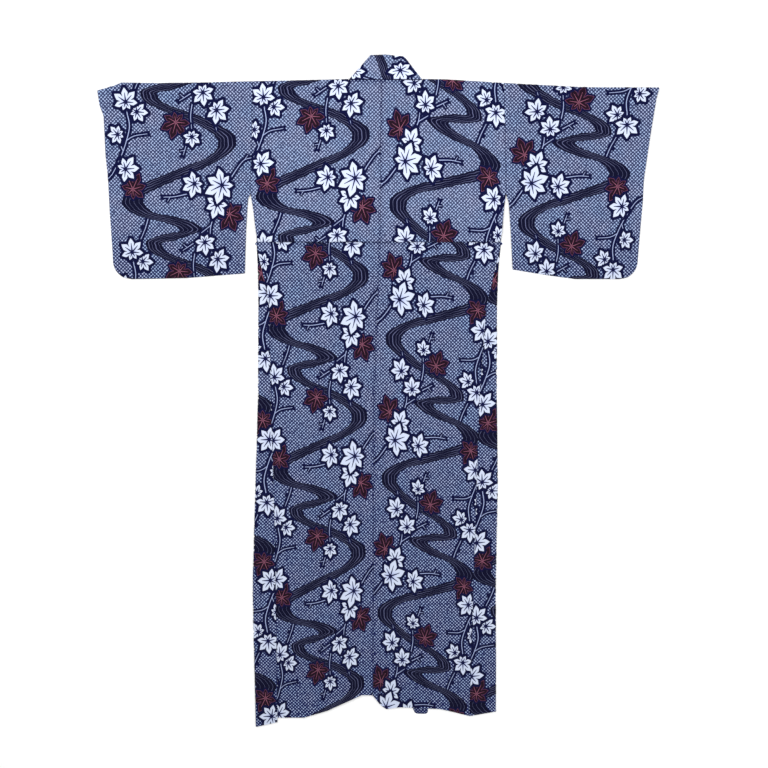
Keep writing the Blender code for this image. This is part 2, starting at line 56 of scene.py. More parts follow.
# Sizes shared with the solids, in metres
CLOTH = 0.0012
SEAM_GAP = 0.0003
LAYER_GAP = 0.0004
FLOOR_LAYER = CLOTH / 2
TOP_LAYER = 0.0039
BAND_LEAF = 0.0010
BAND_HALF = 0.0007
BAND_WIDTH = 0.057
BAND_THICK = 2 * BAND_HALF + BAND_LEAF
BAND_FOLD = 0.0020
BAND_BASE = BAND_THICK / 2
NECK = {LEFT: -0.0884, RIGHT: 0.0956}
COLLAR_PEAK = {LEFT: (-0.0333, -0.0568), RIGHT: (0.0499, -0.0540)}
COLLAR_TOP = -0.0578
COLLAR_MIDDLE = (NECK[LEFT] + NECK[RIGHT]) / 2
ARMHOLE = 0.280
FREE_EDGE_END = 0.405
WRAP_FULL = 0.445
WRAP_STEPS = ((FREE_EDGE_END, 0.0), (0.415, 0.34), (0.430, 0.67), (WRAP_FULL, 1.0))
TUCK_DEPTH = 0.400
TUCK_FOLD = 0.010
TUCK_RADIUS = (CLOTH + LAYER_GAP) / 2
TUCK_EASE = 0.085
TUCK_FULL = 0.384
FRONT_LIFT = BAND_THICK + LAYER_GAP
PANEL_LIFT = CLOTH + LAYER_GAP
BAND_END = 0.812
BAND_END_DROP = 0.010
SLEEVE_CORNER = 0.045
WRIST_OPENING = 0.225
BAND_SQUARE = 0.16
BAND_SKEW = 0.045
OVERLAP_EDGE = {LEFT: 0.118, RIGHT: -0.130}
OVERLAP_TOP = 0.29
OVERLAP_ROUND = 0.009

# Sections across the body: depth, x of the left edge, centre back seam and right edge
SECTIONS = (
    (0.00, -0.325, -0.006, 0.297),
    (0.14, -0.329, -0.008, 0.302),
    (0.28, -0.335, -0.009, 0.306),
    (0.31, -0.330, -0.009, 0.302),
    (0.38, -0.322, -0.010, 0.297),
    (0.47, -0.320, -0.013, 0.290),
    (0.56, -0.320, -0.017, 0.288),
    (0.80, -0.325, -0.026, 0.291),
    (1.02, -0.335, -0.027, 0.297),
    (1.32, -0.348, -0.028, 0.296),
    (1.70, -0.345, -0.030, 0.302),
)
DEPTH, LEFT_EDGE, CENTRE, RIGHT_EDGE = np.array(SECTIONS).T
SIDE_EDGE = {LEFT: LEFT_EDGE, RIGHT: RIGHT_EDGE}

# Width of each front that wraps round the side edge onto the back: depth, left, right
WRAPS = (
    (WRAP_FULL, 0.003, 0.003),
    (0.500, 0.015, 0.012),
    (0.560, 0.025, 0.025),
    (0.800, 0.031, 0.043),
    (1.020, 0.045, 0.053),
    (1.320, 0.060, 0.058),
    (1.700, 0.056, 0.071),
)
WRAP_DEPTH, WRAP_LEFT, WRAP_RIGHT = np.array(WRAPS).T
WRAP_WIDTH = {LEFT: WRAP_LEFT, RIGHT: WRAP_RIGHT}

# Inner edge of each front: depth, left x, right x
FRONT_EDGES = (
    (0.00, NECK[LEFT], NECK[RIGHT]),
    (0.25, -0.046, 0.046),
    (1.70, -0.047, 0.036),
)
FRONT_DEPTH, FRONT_LEFT, FRONT_RIGHT = np.array(FRONT_EDGES).T
FRONT_EDGE = {LEFT: FRONT_LEFT, RIGHT: FRONT_RIGHT}

# Seam of the collar band on the fronts: depth, left x, right x
BAND_LINES = (
    (0.00, NECK[LEFT], NECK[RIGHT]),
    (0.25, -0.046, 0.046),
    (BAND_END, 0.061, -0.073),
)
BAND_DEPTH, BAND_LEFT, BAND_RIGHT = np.array(BAND_LINES).T
BAND_LINE = {LEFT: BAND_LEFT, RIGHT: BAND_RIGHT}

# Hem of the back: x, depth
BACK_HEM = (
    (-0.290, 1.667), (-0.215, 1.667), (-0.152, 1.647), (-0.104, 1.624), (-0.060, 1.602),
    (-0.030, 1.603), (-0.010, 1.630), (0.006, 1.642), (0.043, 1.637), (0.150, 1.642), (0.183, 1.650),
    (0.232, 1.663),
)
# Hem of the fronts where they lie underneath: x, depth
FRONT_HEM = (
    (-0.345, 1.693), (-0.290, 1.668), (-0.215, 1.657), (-0.152, 1.637), (-0.104, 1.614),
    (-0.060, 1.593), (-0.030, 1.594), (0.006, 1.620), (0.150, 1.632), (0.232, 1.652), (0.302, 1.650),
)
# Hem of the left overlap panel, whose corner shows below the back: x, depth
OVERLAP_HEM = (
    (-0.047, 1.594), (0.010, 1.620), (0.075, 1.636), (0.084, 1.657), (0.118, 1.658),
)
# Hem of the strip that wraps round: depth at the side edge and at the side seam
WRAP_HEM = {LEFT: (1.693, 1.680), RIGHT: (1.650, 1.663)}
# Depths near which the hems of the back, the fronts' inner edges and the wraps are read
BACK_HEM_NEAR = 1.66
CENTRE_HEM_NEAR = 1.62
FRONT_HEM_NEAR = 1.6
WRAP_HEM_NEAR = 1.68

# Fold along the shoulders and the tops of the sleeves: x, depth
SHOULDER = (
    (-0.710, 0.0277), (-0.664, 0.0144), (-0.651, 0.0084), (-0.555, 0.0096), (-0.443, 0.0084),
    (-0.325, 0.0055), (-0.089, 0.0004), (0.096, 0.0004), (0.154, 0.0010), (0.297, 0.0096),
    (0.486, 0.0192), (0.682, 0.0204),
)
# Outer edge of each sleeve: depth, x
SLEEVE_OUTER = {
    LEFT: (
        (0.028, -0.710), (0.064, -0.7055), (0.089, -0.6965), (0.187, -0.695), (0.231, -0.6915),
        (0.325, -0.690), (0.435, -0.686),
    ),
    RIGHT: (
        (0.020, 0.682), (0.048, 0.675), (0.138, 0.663), (0.241, 0.651), (0.295, 0.6505), (0.373, 0.646),
        (0.450, 0.642),
    ),
}
# Inner edge of each sleeve: depth, x
SLEEVE_INNER = {
    LEFT: (
        (0.000, -0.325), (0.140, -0.329), (0.280, -0.335), (0.293, -0.3415), (0.373, -0.348),
        (0.480, -0.353),
    ),
    RIGHT: (
        (0.000, 0.297), (0.140, 0.302), (0.280, 0.306), (0.303, 0.3135), (0.373, 0.3195), (0.470, 0.326),
    ),
}
# Bottom edge of each sleeve: x, depth
SLEEVE_BOTTOM = {
    LEFT: (
        (-0.640, 0.4933), (-0.504, 0.4907), (-0.353, 0.479),
    ),
    RIGHT: (
        (0.328, 0.4695), (0.416, 0.483), (0.498, 0.4933), (0.600, 0.4933),
    ),
}

# Broad soft swells of the upper layer: x, depth, half width, half length, height
SWELLS = (
    (-0.215, 0.560, 0.075, 0.16, 0.0009),
    (0.200, 0.330, 0.060, 0.14, 0.0007),
    (-0.130, 0.960, 0.070, 0.22, 0.0010),
    (0.110, 1.080, 0.075, 0.24, 0.0011),
    (-0.205, 1.330, 0.065, 0.20, 0.0009),
    (0.165, 1.420, 0.060, 0.18, 0.0009),
    (-0.060, 1.610, 0.080, 0.13, 0.0016),
    (-0.520, 0.220, 0.100, 0.15, 0.0009),
    (0.490, 0.270, 0.090, 0.14, 0.0009),
)

# Creases of the upper layer: x and depth of both ends, half width, height (a trough is below zero)
CREASES = (
    (-0.321, 0.285, -0.303, 0.385, 0.007, -0.0012),
    (-0.309, 0.285, -0.288, 0.375, 0.012, 0.0018),
    (0.297, 0.290, 0.281, 0.370, 0.011, 0.0013),
    (-0.150, 1.560, -0.030, 1.500, 0.012, 0.0018),
    (-0.110, 1.610, -0.035, 1.560, 0.010, -0.0010),
    (0.020, 1.625, 0.060, 1.500, 0.013, 0.0016),
    (-0.275, 1.630, -0.262, 1.200, 0.016, 0.0014),
    (0.215, 1.640, 0.222, 1.260, 0.014, 0.0014),
    (-0.230, 0.415, -0.222, 0.520, 0.010, 0.0010),
    (0.120, 0.412, 0.126, 0.540, 0.011, 0.0011),
    (0.232, 0.412, 0.228, 0.500, 0.009, 0.0009),
    (-0.095, 0.412, -0.100, 0.505, 0.010, 0.0010),
    (-0.300, 0.030, -0.180, 0.075, 0.018, 0.0010),
    (0.170, 0.080, 0.280, 0.035, 0.018, 0.0010),
    (-0.640, 0.400, -0.560, 0.455, 0.014, 0.0013),
    (0.560, 0.430, 0.625, 0.385, 0.014, 0.0013),
    (-0.040, 1.620, -0.030, 1.380, 0.012, -0.0022),
    (-0.062, 1.600, -0.048, 1.460, 0.012, 0.0018),
    (0.000, 1.620, -0.008, 1.430, 0.011, 0.0018),
    (-0.470, 0.040, -0.420, 0.160, 0.016, 0.0010),
    (0.600, 0.060, 0.560, 0.160, 0.015, 0.0010),
)

# A crease bows by this share of its length, and rises and fades over these shares of it
CREASE_BOW = 0.06
CREASE_IN = (-0.1, 0.35)
CREASE_OUT = (1.1, 0.7)

# The print, charted on one width of cloth in millimetres: a across, b along. It repeats along b
REPEAT = 0.360
# Kind, a, b, length of the longest lobe, its direction in degrees from +a towards +b
LEAVES = (
    ("red", 185, 92, 40, 108),
    ("red", 68, 248, 38, -63),
    ("red", 321, 318, 41, 70),
    ("white", 255, 24, 32, 85),
    ("white", 289, 67, 34, 45),
    ("white", 225, 128, 25, 88),
    ("white", 86, 64, 28, 7),
    ("white", 59, 40, 35, -95),
    ("white", 35, 116, 26, 178),
    ("white", 51, 199, 35, -2),
    ("white", 230, 241, 35, 156),
    ("white", 289, 292, 35, 110),
    ("white", 302, 247, 47, 157),
)
# The stream, charted at its bends and between them: a and b of one side, a and b of the other
STREAM = (
    (170, 0, 178, 12), (108, 10, 142, 20), (98, 26, 140, 28), (115, 46, 150, 42), (165, 67, 185, 60),
    (218, 86, 230, 76), (262, 108, 280, 98), (290, 135, 330, 124), (290, 158, 336, 156),
    (262, 180, 295, 186), (210, 200, 222, 213), (140, 224, 150, 238), (80, 242, 105, 258),
    (42, 266, 95, 268), (45, 292, 98, 288), (85, 314, 125, 308), (148, 331, 178, 319),
    (182, 344, 232, 338), (188, 354, 244, 356),
)
# Share of the way from bank to bank of each pale line, and its half width in millimetres
STREAM_LINES = ((0.17, 0.60), (0.36, 0.50), (0.57, 0.65), (0.80, 0.50))
# Branches: half width of the navy border, half width of the light core, 1 where the end forks, then a, b
BRANCHES = (
    (6.2, 1.7, 0, (61, 64), (66, 97), (57, 131), (41, 168), (15, 211), (-4, 224)),
    (5.0, 1.4, 1, (57, 131), (77, 121), (111, 117)),
    (5.2, 1.5, 0, (40, 139), (47, 156)),
    (5.8, 1.5, 0, (105, 321), (97, 343), (80, 377)),
    (4.2, 0.0, 0, (97, 343), (87, 340)),
    (5.0, 1.4, 1, (225, 25), (195, 42)),
    (4.4, 1.1, 0, (207, 35), (197, 26)),
    (5.2, 1.5, 0, (228, 47), (223, 78), (225, 109)),
    (4.6, 1.2, 0, (284, 96), (289, 115)),
    (5.0, 1.4, 1, (212, 143), (202, 171)),
    (4.2, 1.0, 0, (206, 160), (194, 161)),
    (5.6, 1.6, 0, (324, 232), (344, 205), (361, 188), (383, 183)),
    (4.4, 1.1, 0, (361, 188), (369, 177)),
    (5.0, 1.5, 1, (215, 264), (177, 270), (148, 270)),
    (4.2, 1.1, 0, (165, 270), (158, 281)),
    (5.8, 1.7, 0, (280, 324), (272, 343), (269, 368)),
    (5.0, 1.4, 0, (272, 343), (244, 362)),
)

# Where the print lies on each panel: x and depth are each c0 + c1 a + c2 b + c3 a b, in metres
PLACINGS = {
    "upper_left": ((-0.3538, 0.9445, -0.0136, 0.0), (0.0072, -0.0552, 1.0149, 0.0)),
    "lower_left": ((-0.3386, 0.9048, 0.0095, -0.0668), (-0.0483, 0.0809, 1.0438, -0.1199)),
    "upper_right": ((0.3136, -0.9093, 0.0416, 0.0521), (0.5104, -0.1508, -1.0458, -0.0771)),
    "lower_right": ((0.3016, -0.8567, 0.0412, -0.0329), (0.4677, -0.1229, -1.0114, 0.0)),
    "sleeve_left": ((-0.6990, 0.9835, 0.0186, -0.1117), (0.0167, -0.0328, 1.0280, -0.0250)),
    "sleeve_right": ((0.6268, -0.8420, 0.0869, -0.3277), (0.5128, -0.0606, -0.9999, 0.0886)),
    "front_left": ((-0.2479, -0.95, 0.006, 0.0), (0.7380, 0.0, -1.0500, 0.0)),
    "front_right": ((0.2216, 0.95, -0.029, 0.0), (0.2476, -0.0656, 1.0217, 0.0)),
    "overlap_left": ((0.120, -0.98, 0.0, 0.0), (0.2100, 0.0, 1.0, 0.0)),
    "overlap_right": ((-0.132, 0.98, 0.0, 0.0), (0.1600, 0.0, 1.0, 0.0)),
}


def linear(red, green, blue):
    """A colour given in sRGB bytes, as linear light."""
    value = np.array((red, green, blue)) / 255
    return np.where(value <= 0.04045, value / 12.92, ((value + 0.055) / 1.055) ** 2.4)


DYES = {
    "ground": linear(188, 208, 244),
    "navy": linear(4, 8, 54),
    "stream": linear(4, 5, 38),
    "stream_line": linear(98, 102, 138),
    "branch": linear(164, 178, 218),
    "white": linear(210, 220, 243),
    "white_heart": linear(172, 184, 230),
    "vein": linear(8, 12, 62),
    "rose": linear(116, 64, 90),
    "maroon": linear(30, 9, 27),
    "rose_vein": linear(154, 92, 116),
}
NAVY_GROUND = linear(10, 18, 70)


def smooth(value, start, end):
    """Rises softly from 0 at start to 1 at end, which may be the smaller."""
    share = np.clip((value - start) / (end - start), 0.0, 1.0)
    return share * share * (3 - 2 * share)


def near(value, middle, full, gone):
    """1 within full of the middle, fading to 0 at gone."""
    return 1 - smooth(abs(value - middle), full, gone)


def table(value, rows):
    """Reads a two-column table between its rows."""
    keys, values = np.array(rows).T
    return np.interp(value, keys, values)


def side_edge(side, depth):
    return np.interp(depth, DEPTH, SIDE_EDGE[side])


def wrap_width(side, depth):
    return np.interp(depth, WRAP_DEPTH, WRAP_WIDTH[side])


def centre_seam(depth):
    return np.interp(depth, DEPTH, CENTRE)


def front_edge(side, depth):
    return np.interp(depth, FRONT_DEPTH, FRONT_EDGE[side])


def band_line(side, depth):
    return np.interp(depth, BAND_DEPTH, BAND_LINE[side])


# Where the right front climbs onto the left one: from, to
CLIMB_X = (0.172, 0.128)
CLIMB_DEPTH = (0.05, 0.15)
# Rise of the back over the collar at the neck, over the crossed fronts and over the band
NECK_RISE = 0.0013
FRONT_RISE = 0.0011
BAND_RISE = 0.0012


def front_lift(x, depth):
    """How far the right front is carried by the left front and band that lie under it."""
    across = smooth(x, *CLIMB_X)
    below_neck = smooth(depth, *CLIMB_DEPTH)
    past_band = smooth(depth, BAND_END + 0.03, BAND_END + 0.12)
    lift = FRONT_LIFT + (PANEL_LIFT - FRONT_LIFT) * past_band
    return lift * across * below_neck


def top_height(x, depth):
    """Height of the middle of the upper layer, over all that lies beneath."""
    neck = near(x, 0.003, 0.095, 0.17) * smooth(depth, 0.13, 0.04)
    band_middle = band_line(RIGHT, depth) - BAND_WIDTH / 2
    over_front = smooth(x, 0.195, 0.137) * smooth(x, band_middle - 0.11, band_middle - 0.05)
    over_front = over_front * smooth(depth, 0.06, 0.16)
    over_band = near(x, band_middle, 0.045, 0.085) * smooth(depth, 0.06, 0.15)
    over_band = over_band * smooth(depth, BAND_END + 0.11, BAND_END + 0.03)
    height = TOP_LAYER + NECK_RISE * neck + FRONT_RISE * over_front + BAND_RISE * over_band
    return height + swells(x, depth)


def swells(x, depth):
    total = 0.0 * (x + depth)
    for middle, down, half_width, half_length, height in SWELLS:
        total = total + height * near(x, middle, 0.0, half_width) * near(depth, down, 0.0, half_length)
    return total


def creases(x, depth):
    """Soft troughs and ridges, each highest in its middle and fading out at both ends."""
    total = 0.0 * (x + depth)
    for x0, d0, x1, d1, half_width, height in CREASES:
        length = sqrt((x1 - x0) ** 2 + (d1 - d0) ** 2)
        along = ((x - x0) * (x1 - x0) + (depth - d0) * (d1 - d0)) / length**2
        across = ((x - x0) * (d1 - d0) - (depth - d0) * (x1 - x0)) / length
        bowed = across - CREASE_BOW * length * np.sin(pi * np.clip(along, 0, 1))
        share = smooth(along, *CREASE_IN) * smooth(along, *CREASE_OUT)
        total = total + height * near(bowed, 0.0, 0.0, half_width) * share
    return total


def fold_radius(x):
    return (top_height(x, 0.0) - FLOOR_LAYER) / 2


def fold_start(x):
    """Depth at which the upper layer starts to turn over the shoulder."""
    return table(x, SHOULDER) + CLOTH / 2 + fold_radius(x)


def wrap_turn(depth):
    depths, turns = np.array(WRAP_STEPS).T
    return np.interp(depth, depths, turns)


ROLL = pi * (TOP_LAYER - FLOOR_LAYER) / 2
HIGHEST_RISE = 1.2
# Turn of the roll (1 is half a circle), its bend, its rise, the x where it starts and the strip past it
Wrap = namedtuple("Wrap", "turn bend rise start strip")


def wrap_shape(side, depth):
    """How a front's edge rolls round the side of the body at this depth."""
    turn = wrap_turn(depth)
    strip = wrap_width(side, np.maximum(depth, FREE_EDGE_END))
    bend = np.maximum(pi * turn / ROLL, 1e-6)
    end = np.sin(pi * turn) / bend + strip * np.cos(pi * turn)
    reach = np.where(turn < 0.5, end, 1 / bend)
    top = (1 - np.cos(pi * turn)) / bend + strip * np.sin(pi * turn)
    top = np.where(turn > 0.999, 2 / bend, top)
    rise = np.where(turn > 0, (TOP_LAYER - FLOOR_LAYER) * turn / np.maximum(top, 1e-9), 0.0)
    rise = np.minimum(rise, HIGHEST_RISE)
    edge = side_edge(side, depth) - side * np.where(depth <= ARMHOLE, SEAM_GAP / 2, 0.0)
    outside = edge - side * CLOTH / 2 * turn
    return Wrap(turn, bend, rise, outside - side * reach, strip)


# How far the pressed seams lie below the cloth beside them, and the clear edge of a free side
SEAM_DIP = 0.0008
SIDE_DIP = 0.0006
FREE_CLEAR = 0.0035
WRAP_CLEAR = 0.0022
# Half width of such a dip: full, gone; depths over which the armhole's ends and the side seam's starts
DIP = (0.0004, 0.006)
ARMHOLE_DIP = (0.30, 0.27)
SIDE_DIP_STARTS = (0.40, 0.47)


def front_surface(side, spread, depth):
    """Outer face of a front: flat on the floor, then rolled round the side onto the back."""
    wrap = wrap_shape(side, depth)
    bend = wrap.bend
    past = side * (spread - wrap.start)
    on_arc = np.clip(past, 0.0, ROLL)
    beyond = np.maximum(past - ROLL, 0.0)
    angle = bend * on_arc
    across = np.sin(angle) / bend + beyond * np.cos(angle)
    up = (1 - np.cos(angle)) / bend + beyond * np.sin(angle)
    x = wrap.start + side * (across + CLOTH / 2 * np.sin(angle))
    height = FLOOR_LAYER + up * wrap.rise - CLOTH / 2 * np.cos(angle)
    floor = past <= 0
    x = np.where(floor, spread, x)
    height = np.where(floor, 0.0, height)
    if side > 0:
        height = height + front_lift(spread, depth)
    on_top = smooth(beyond, 0.0, 0.006) * smooth(depth, 0.42, 0.47)
    seam = near(beyond, wrap.strip, 0.0005, 0.006)
    height = height + on_top * (creases(x, depth) - SIDE_DIP * seam)
    return np.stack((x, depth, height), axis=-1)


def back_side(side, depth):
    """X of the back's own side edge: armhole seam, free edge or side seam."""
    turn, bend, rise, start, strip = wrap_shape(side, depth)
    across = np.sin(pi * turn) / bend + strip * np.cos(pi * turn)
    seam = start + side * across
    clear = np.maximum(SEAM_GAP + WRAP_CLEAR * (1 - turn), FREE_CLEAR * smooth(depth, 0.415, FREE_EDGE_END))
    edge = side_edge(side, depth)
    free = edge - side * FREE_CLEAR * smooth(depth, 0.37, FREE_EDGE_END)
    x = np.where(depth <= FREE_EDGE_END, free, seam - side * clear)
    return np.where(depth <= ARMHOLE, edge - side * SEAM_GAP / 2, x)


def seam_dips(side, x, depth):
    """The pressed seams sit a little lower than the cloth beside them."""
    centre = near(x, centre_seam(depth) + side * SEAM_GAP / 2, 0.0004, 0.007)
    edge = near(x, back_side(side, depth), *DIP) * smooth(depth, *SIDE_DIP_STARTS)
    armhole = near(x, side_edge(side, depth), *DIP) * smooth(depth, *ARMHOLE_DIP)
    return -SEAM_DIP * centre - SIDE_DIP * edge - SEAM_DIP * armhole


HEM_WIDTH = 0.015
HEM_THICKER = 0.0005
HEM_DIP = 0.0006


def hem_roll(depth, hem):
    """The turned-up hem is a little thicker, with a faint line where its inner edge is sewn."""
    above = hem - depth
    thicker = smooth(above, HEM_WIDTH + 0.002, HEM_WIDTH - 0.002)
    return HEM_THICKER * thicker - HEM_DIP * near(above, HEM_WIDTH + 0.0005, 0.0, 0.003)


UPPER_ROLL_START = TUCK_DEPTH - TUCK_RADIUS
UPPER_ROLL_RADIUS = TUCK_RADIUS + CLOTH / 2
TUCK_PULL = 0.0007
SETTLE = 0.02


def upper_surface(side, x, path):
    """Outer face of the back above the tuck, from the shoulder fold to the tuck's rolled edge."""
    start = fold_start(x)
    radius = fold_radius(x) + CLOTH / 2
    angle = np.clip((start - path) / radius, 0.0, pi)
    lift = 4 * TUCK_RADIUS * smooth(path, TUCK_DEPTH - TUCK_EASE, TUCK_FULL)
    flat = top_height(x, np.maximum(path, start)) + CLOTH / 2 + lift
    settle = smooth(path, start, start + SETTLE)
    flat = flat + settle * (creases(x, path) + seam_dips(side, x, path))
    flat = flat - TUCK_PULL * near(path, TUCK_DEPTH - 0.014, 0.0, 0.006)
    over = FLOOR_LAYER + radius - CLOTH / 2 + radius * np.cos(angle)
    depth = np.where(path < start, start - radius * np.sin(angle), path)
    height = np.where(path < start, over, flat)
    turn = np.clip((path - UPPER_ROLL_START) / UPPER_ROLL_RADIUS, 0.0, 3.0)
    base = top_height(x, TUCK_DEPTH - TUCK_FOLD / 2) + seam_dips(side, x, TUCK_DEPTH) * 0.5
    roll = base + 3 * TUCK_RADIUS + UPPER_ROLL_RADIUS * np.cos(turn)
    height = np.where(turn > 0, roll, height)
    depth = np.where(turn > 0, UPPER_ROLL_START + UPPER_ROLL_RADIUS * np.sin(turn), depth)
    return np.stack((x, depth, height), axis=-1)


def lower_surface(side, x, depth):
    """Outer face of the back below the tuck."""
    height = top_height(x, depth) + CLOTH / 2 + seam_dips(side, x, depth)
    height = height + creases(x, depth) * smooth(depth, 0.40, 0.43)
    height = height + hem_roll(depth, table(x, BACK_HEM))
    return np.stack((x, depth, height), axis=-1)


def sleeve_outer(side, depth):
    """X of a sleeve's outer edge, with its rounded lower corner."""
    bottom = SLEEVE_BOTTOM[side][0 if side < 0 else -1][1]
    past = np.clip(depth - (bottom - SLEEVE_CORNER), 0.0, SLEEVE_CORNER)
    inset = SLEEVE_CORNER - np.sqrt(SLEEVE_CORNER**2 - past**2)
    return table(depth, SLEEVE_OUTER[side]) - side * inset


def sleeve_point(side, across, down):
    """Place on a sleeve: across from its seam to the wrist, down from its top fold."""
    inner_rows = SLEEVE_INNER[side]
    bottom_rows = SLEEVE_BOTTOM[side]
    wrist = SLEEVE_OUTER[side][0][1]
    top_x = inner_rows[0][1] + (wrist - inner_rows[0][1]) * across
    top = table(top_x, SHOULDER)
    low_inner = inner_rows[-1][1]
    low_outer = wrist - side * SLEEVE_CORNER * 1.4
    bottom = table(low_inner + (low_outer - low_inner) * across, bottom_rows)
    inner_top = table(inner_rows[0][1], SHOULDER)
    outer_top = table(wrist, SHOULDER)
    inner_depth = inner_top + (table(low_inner, bottom_rows) - inner_top) * down
    outer_depth = outer_top + (table(low_outer, bottom_rows) - outer_top) * down
    inner = table(inner_depth, inner_rows) + side * SEAM_GAP / 2
    outer = sleeve_outer(side, outer_depth)
    return inner + (outer - inner) * across, top + (bottom - top) * down


SLEEVE_RADIUS = (TOP_LAYER - FLOOR_LAYER) / 2 + CLOTH / 2
SLEEVE_MIDDLE = (TOP_LAYER + FLOOR_LAYER) / 2
SLEEVE_SEAM_ROUND = 0.0035
SLEEVE_HEM_RISE = 0.0004


def line_distance(points, line):
    """Distance of each point from an open line."""
    best = np.full(len(points), 1e9)
    for start, end in zip(line[:-1], line[1:]):
        step = end - start
        share = np.clip(((points - start) @ step) / max(step @ step, 1e-12), 0.0, 1.0)
        gap = np.linalg.norm(points - start - share[:, None] * step, axis=1)
        best = np.minimum(best, gap)
    return best


def sewn_line(side):
    """The sleeve's sewn edges: along its bottom and up its outer edge to the wrist opening."""
    bottom = [sleeve_point(side, across, 1.0) for across in np.linspace(0.0, 1.0, 40)]
    outer = [sleeve_point(side, 1.0, down) for down in np.linspace(1.0, 0.3, 50)]
    outer = [point for point in outer if point[1] > WRIST_OPENING + 0.02]
    return np.array(bottom + outer)


def sleeve_fold(x):
    """Depth at which a sleeve's upper leaf starts to turn over its top."""
    return table(x, SHOULDER) + SLEEVE_RADIUS


def sleeve_surface(side, x, path):
    """Outer face of a sleeve: the upper leaf, the fold along its top and the leaf underneath."""
    start = sleeve_fold(x)
    end = start - pi * SLEEVE_RADIUS
    angle = np.clip((start - path) / SLEEVE_RADIUS, 0.0, pi)
    depth = np.where(path > start, path, np.where(path < end, start + end - path, 0.0))
    on_fold = (path <= start) & (path >= end)
    depth = np.where(on_fold, start - SLEEVE_RADIUS * np.sin(angle), depth)
    gap = line_distance(np.stack((x, depth), axis=-1), sewn_line(side))
    bulge = np.sqrt(np.clip(1 - (1 - np.clip(gap / SLEEVE_SEAM_ROUND, 0.0, 1.0)) ** 2, 0.0, 1.0))
    bottom = SLEEVE_BOTTOM[side][1][1]
    soft = swells(x, depth) + creases(x, depth)
    inner = table(depth, SLEEVE_INNER[side])
    dip = -SEAM_DIP * near(x, inner, *DIP) * smooth(depth, *ARMHOLE_DIP)
    settle = smooth(path, start, start + SETTLE) * smooth(gap, 0.0, 0.03)
    upper = SLEEVE_MIDDLE + SLEEVE_RADIUS * bulge + (soft + dip) * settle
    hem = smooth(depth, bottom - 0.017, bottom - 0.012) * smooth(gap, 0.002, 0.006)
    upper = upper + SLEEVE_HEM_RISE * hem
    lower = SLEEVE_MIDDLE - SLEEVE_RADIUS * bulge
    height = np.where(path > start, upper, lower)
    height = np.where(on_fold, SLEEVE_MIDDLE + SLEEVE_RADIUS * np.cos(angle), height)
    return np.stack((x, depth, height), axis=-1)


def placed(name, points):
    """Print coordinates in metres laid onto a panel."""
    a, b = np.asarray(points).T
    basis = np.stack((np.ones_like(a), a, b, a * b))
    across, down = PLACINGS[name]
    return np.stack((np.array(across) @ basis, np.array(down) @ basis), axis=-1)


def front_place(side, points):
    """The print of a front, unrolled: it runs on from the strip that lies on the back."""
    laid = placed("front_left" if side < 0 else "front_right", points)
    start = wrap_shape(side, np.maximum(laid[:, 1], WRAP_FULL)).start
    laid[:, 0] = 2 * start + side * ROLL - laid[:, 0]
    return laid


# A maple leaf's seven lobes: direction in degrees, share of the longest one's length
LOBES = ((-153, 0.60), (-101, 0.78), (-50, 0.92), (0, 1.0), (50, 0.90), (101, 0.80), (153, 0.58))
# One lobe's edge: degrees beside its middle, share of its reach
LOBE_EDGE = ((-22.5, 0.56), (-19.5, 0.74), (-8.5, 0.90), (0.0, 1.07), (8.5, 0.90), (19.5, 0.74), (22.5, 0.56))
# How near the heart the notches between two lobes reach, and the direction of the one at the stalk
NOTCH = 0.44
STALK_NOTCH = radians(27)


def lobes(length, direction):
    """Directions and reaches of a maple leaf's seven lobes; no two leaves are quite alike."""
    turns, shares = np.array(LOBES).T
    shares = shares * (1 + 0.06 * np.sin(np.arange(len(LOBES)) * 2.1 + length * 900 + direction))
    return np.radians(turns) + radians(direction), shares * length


def leaf_edge(length, direction):
    """Outline of a maple leaf about its heart: seven broad lobes with pointed tips."""
    turns, reaches = lobes(length, direction)
    points = []
    last = len(LOBES) - 1
    for index in range(len(LOBES)):
        turn, reach = turns[index], reaches[index]
        for offset, share in LOBE_EDGE:
            points.append((turn + radians(offset), share * reach))
        following = reaches[0 if index == last else index + 1]
        middle = turns[0] - STALK_NOTCH if index == last else (turn + turns[index + 1]) / 2
        points.append((middle, NOTCH * (reach + following) / 2))
    angles, spans = np.array(points).T
    return np.stack((np.cos(angles), np.sin(angles)), axis=-1) * spans[:, None]


EDGE_STEP = 0.0008


def dense(loop, step):
    """The same loop with no edge longer than a step."""
    points = []
    for start, end in zip(loop, np.roll(loop, -1, axis=0)):
        count = max(1, int(np.ceil(np.linalg.norm(end - start) / step)))
        for index in range(count):
            points.append(start + (end - start) * index / count)
    return np.array(points)


def moved_edge(loop, offset, rays):
    """A star-shaped outline moved out, or in where offset is below zero."""
    edge = dense(loop, EDGE_STEP)
    result = []
    for index in range(rays):
        angle = 2 * pi * index / rays
        ray = np.array((cos(angle), sin(angle)))
        along = edge @ ray
        beside = abs(edge[:, 0] * ray[1] - edge[:, 1] * ray[0])
        close = (beside < abs(offset)) & (along > 0)
        reach = np.sqrt(offset**2 - beside[close] ** 2)
        far = (along[close] + reach).max() if offset > 0 else (along[close] - reach).min()
        result.append(ray * max(far, 0.001))
    return np.array(result)


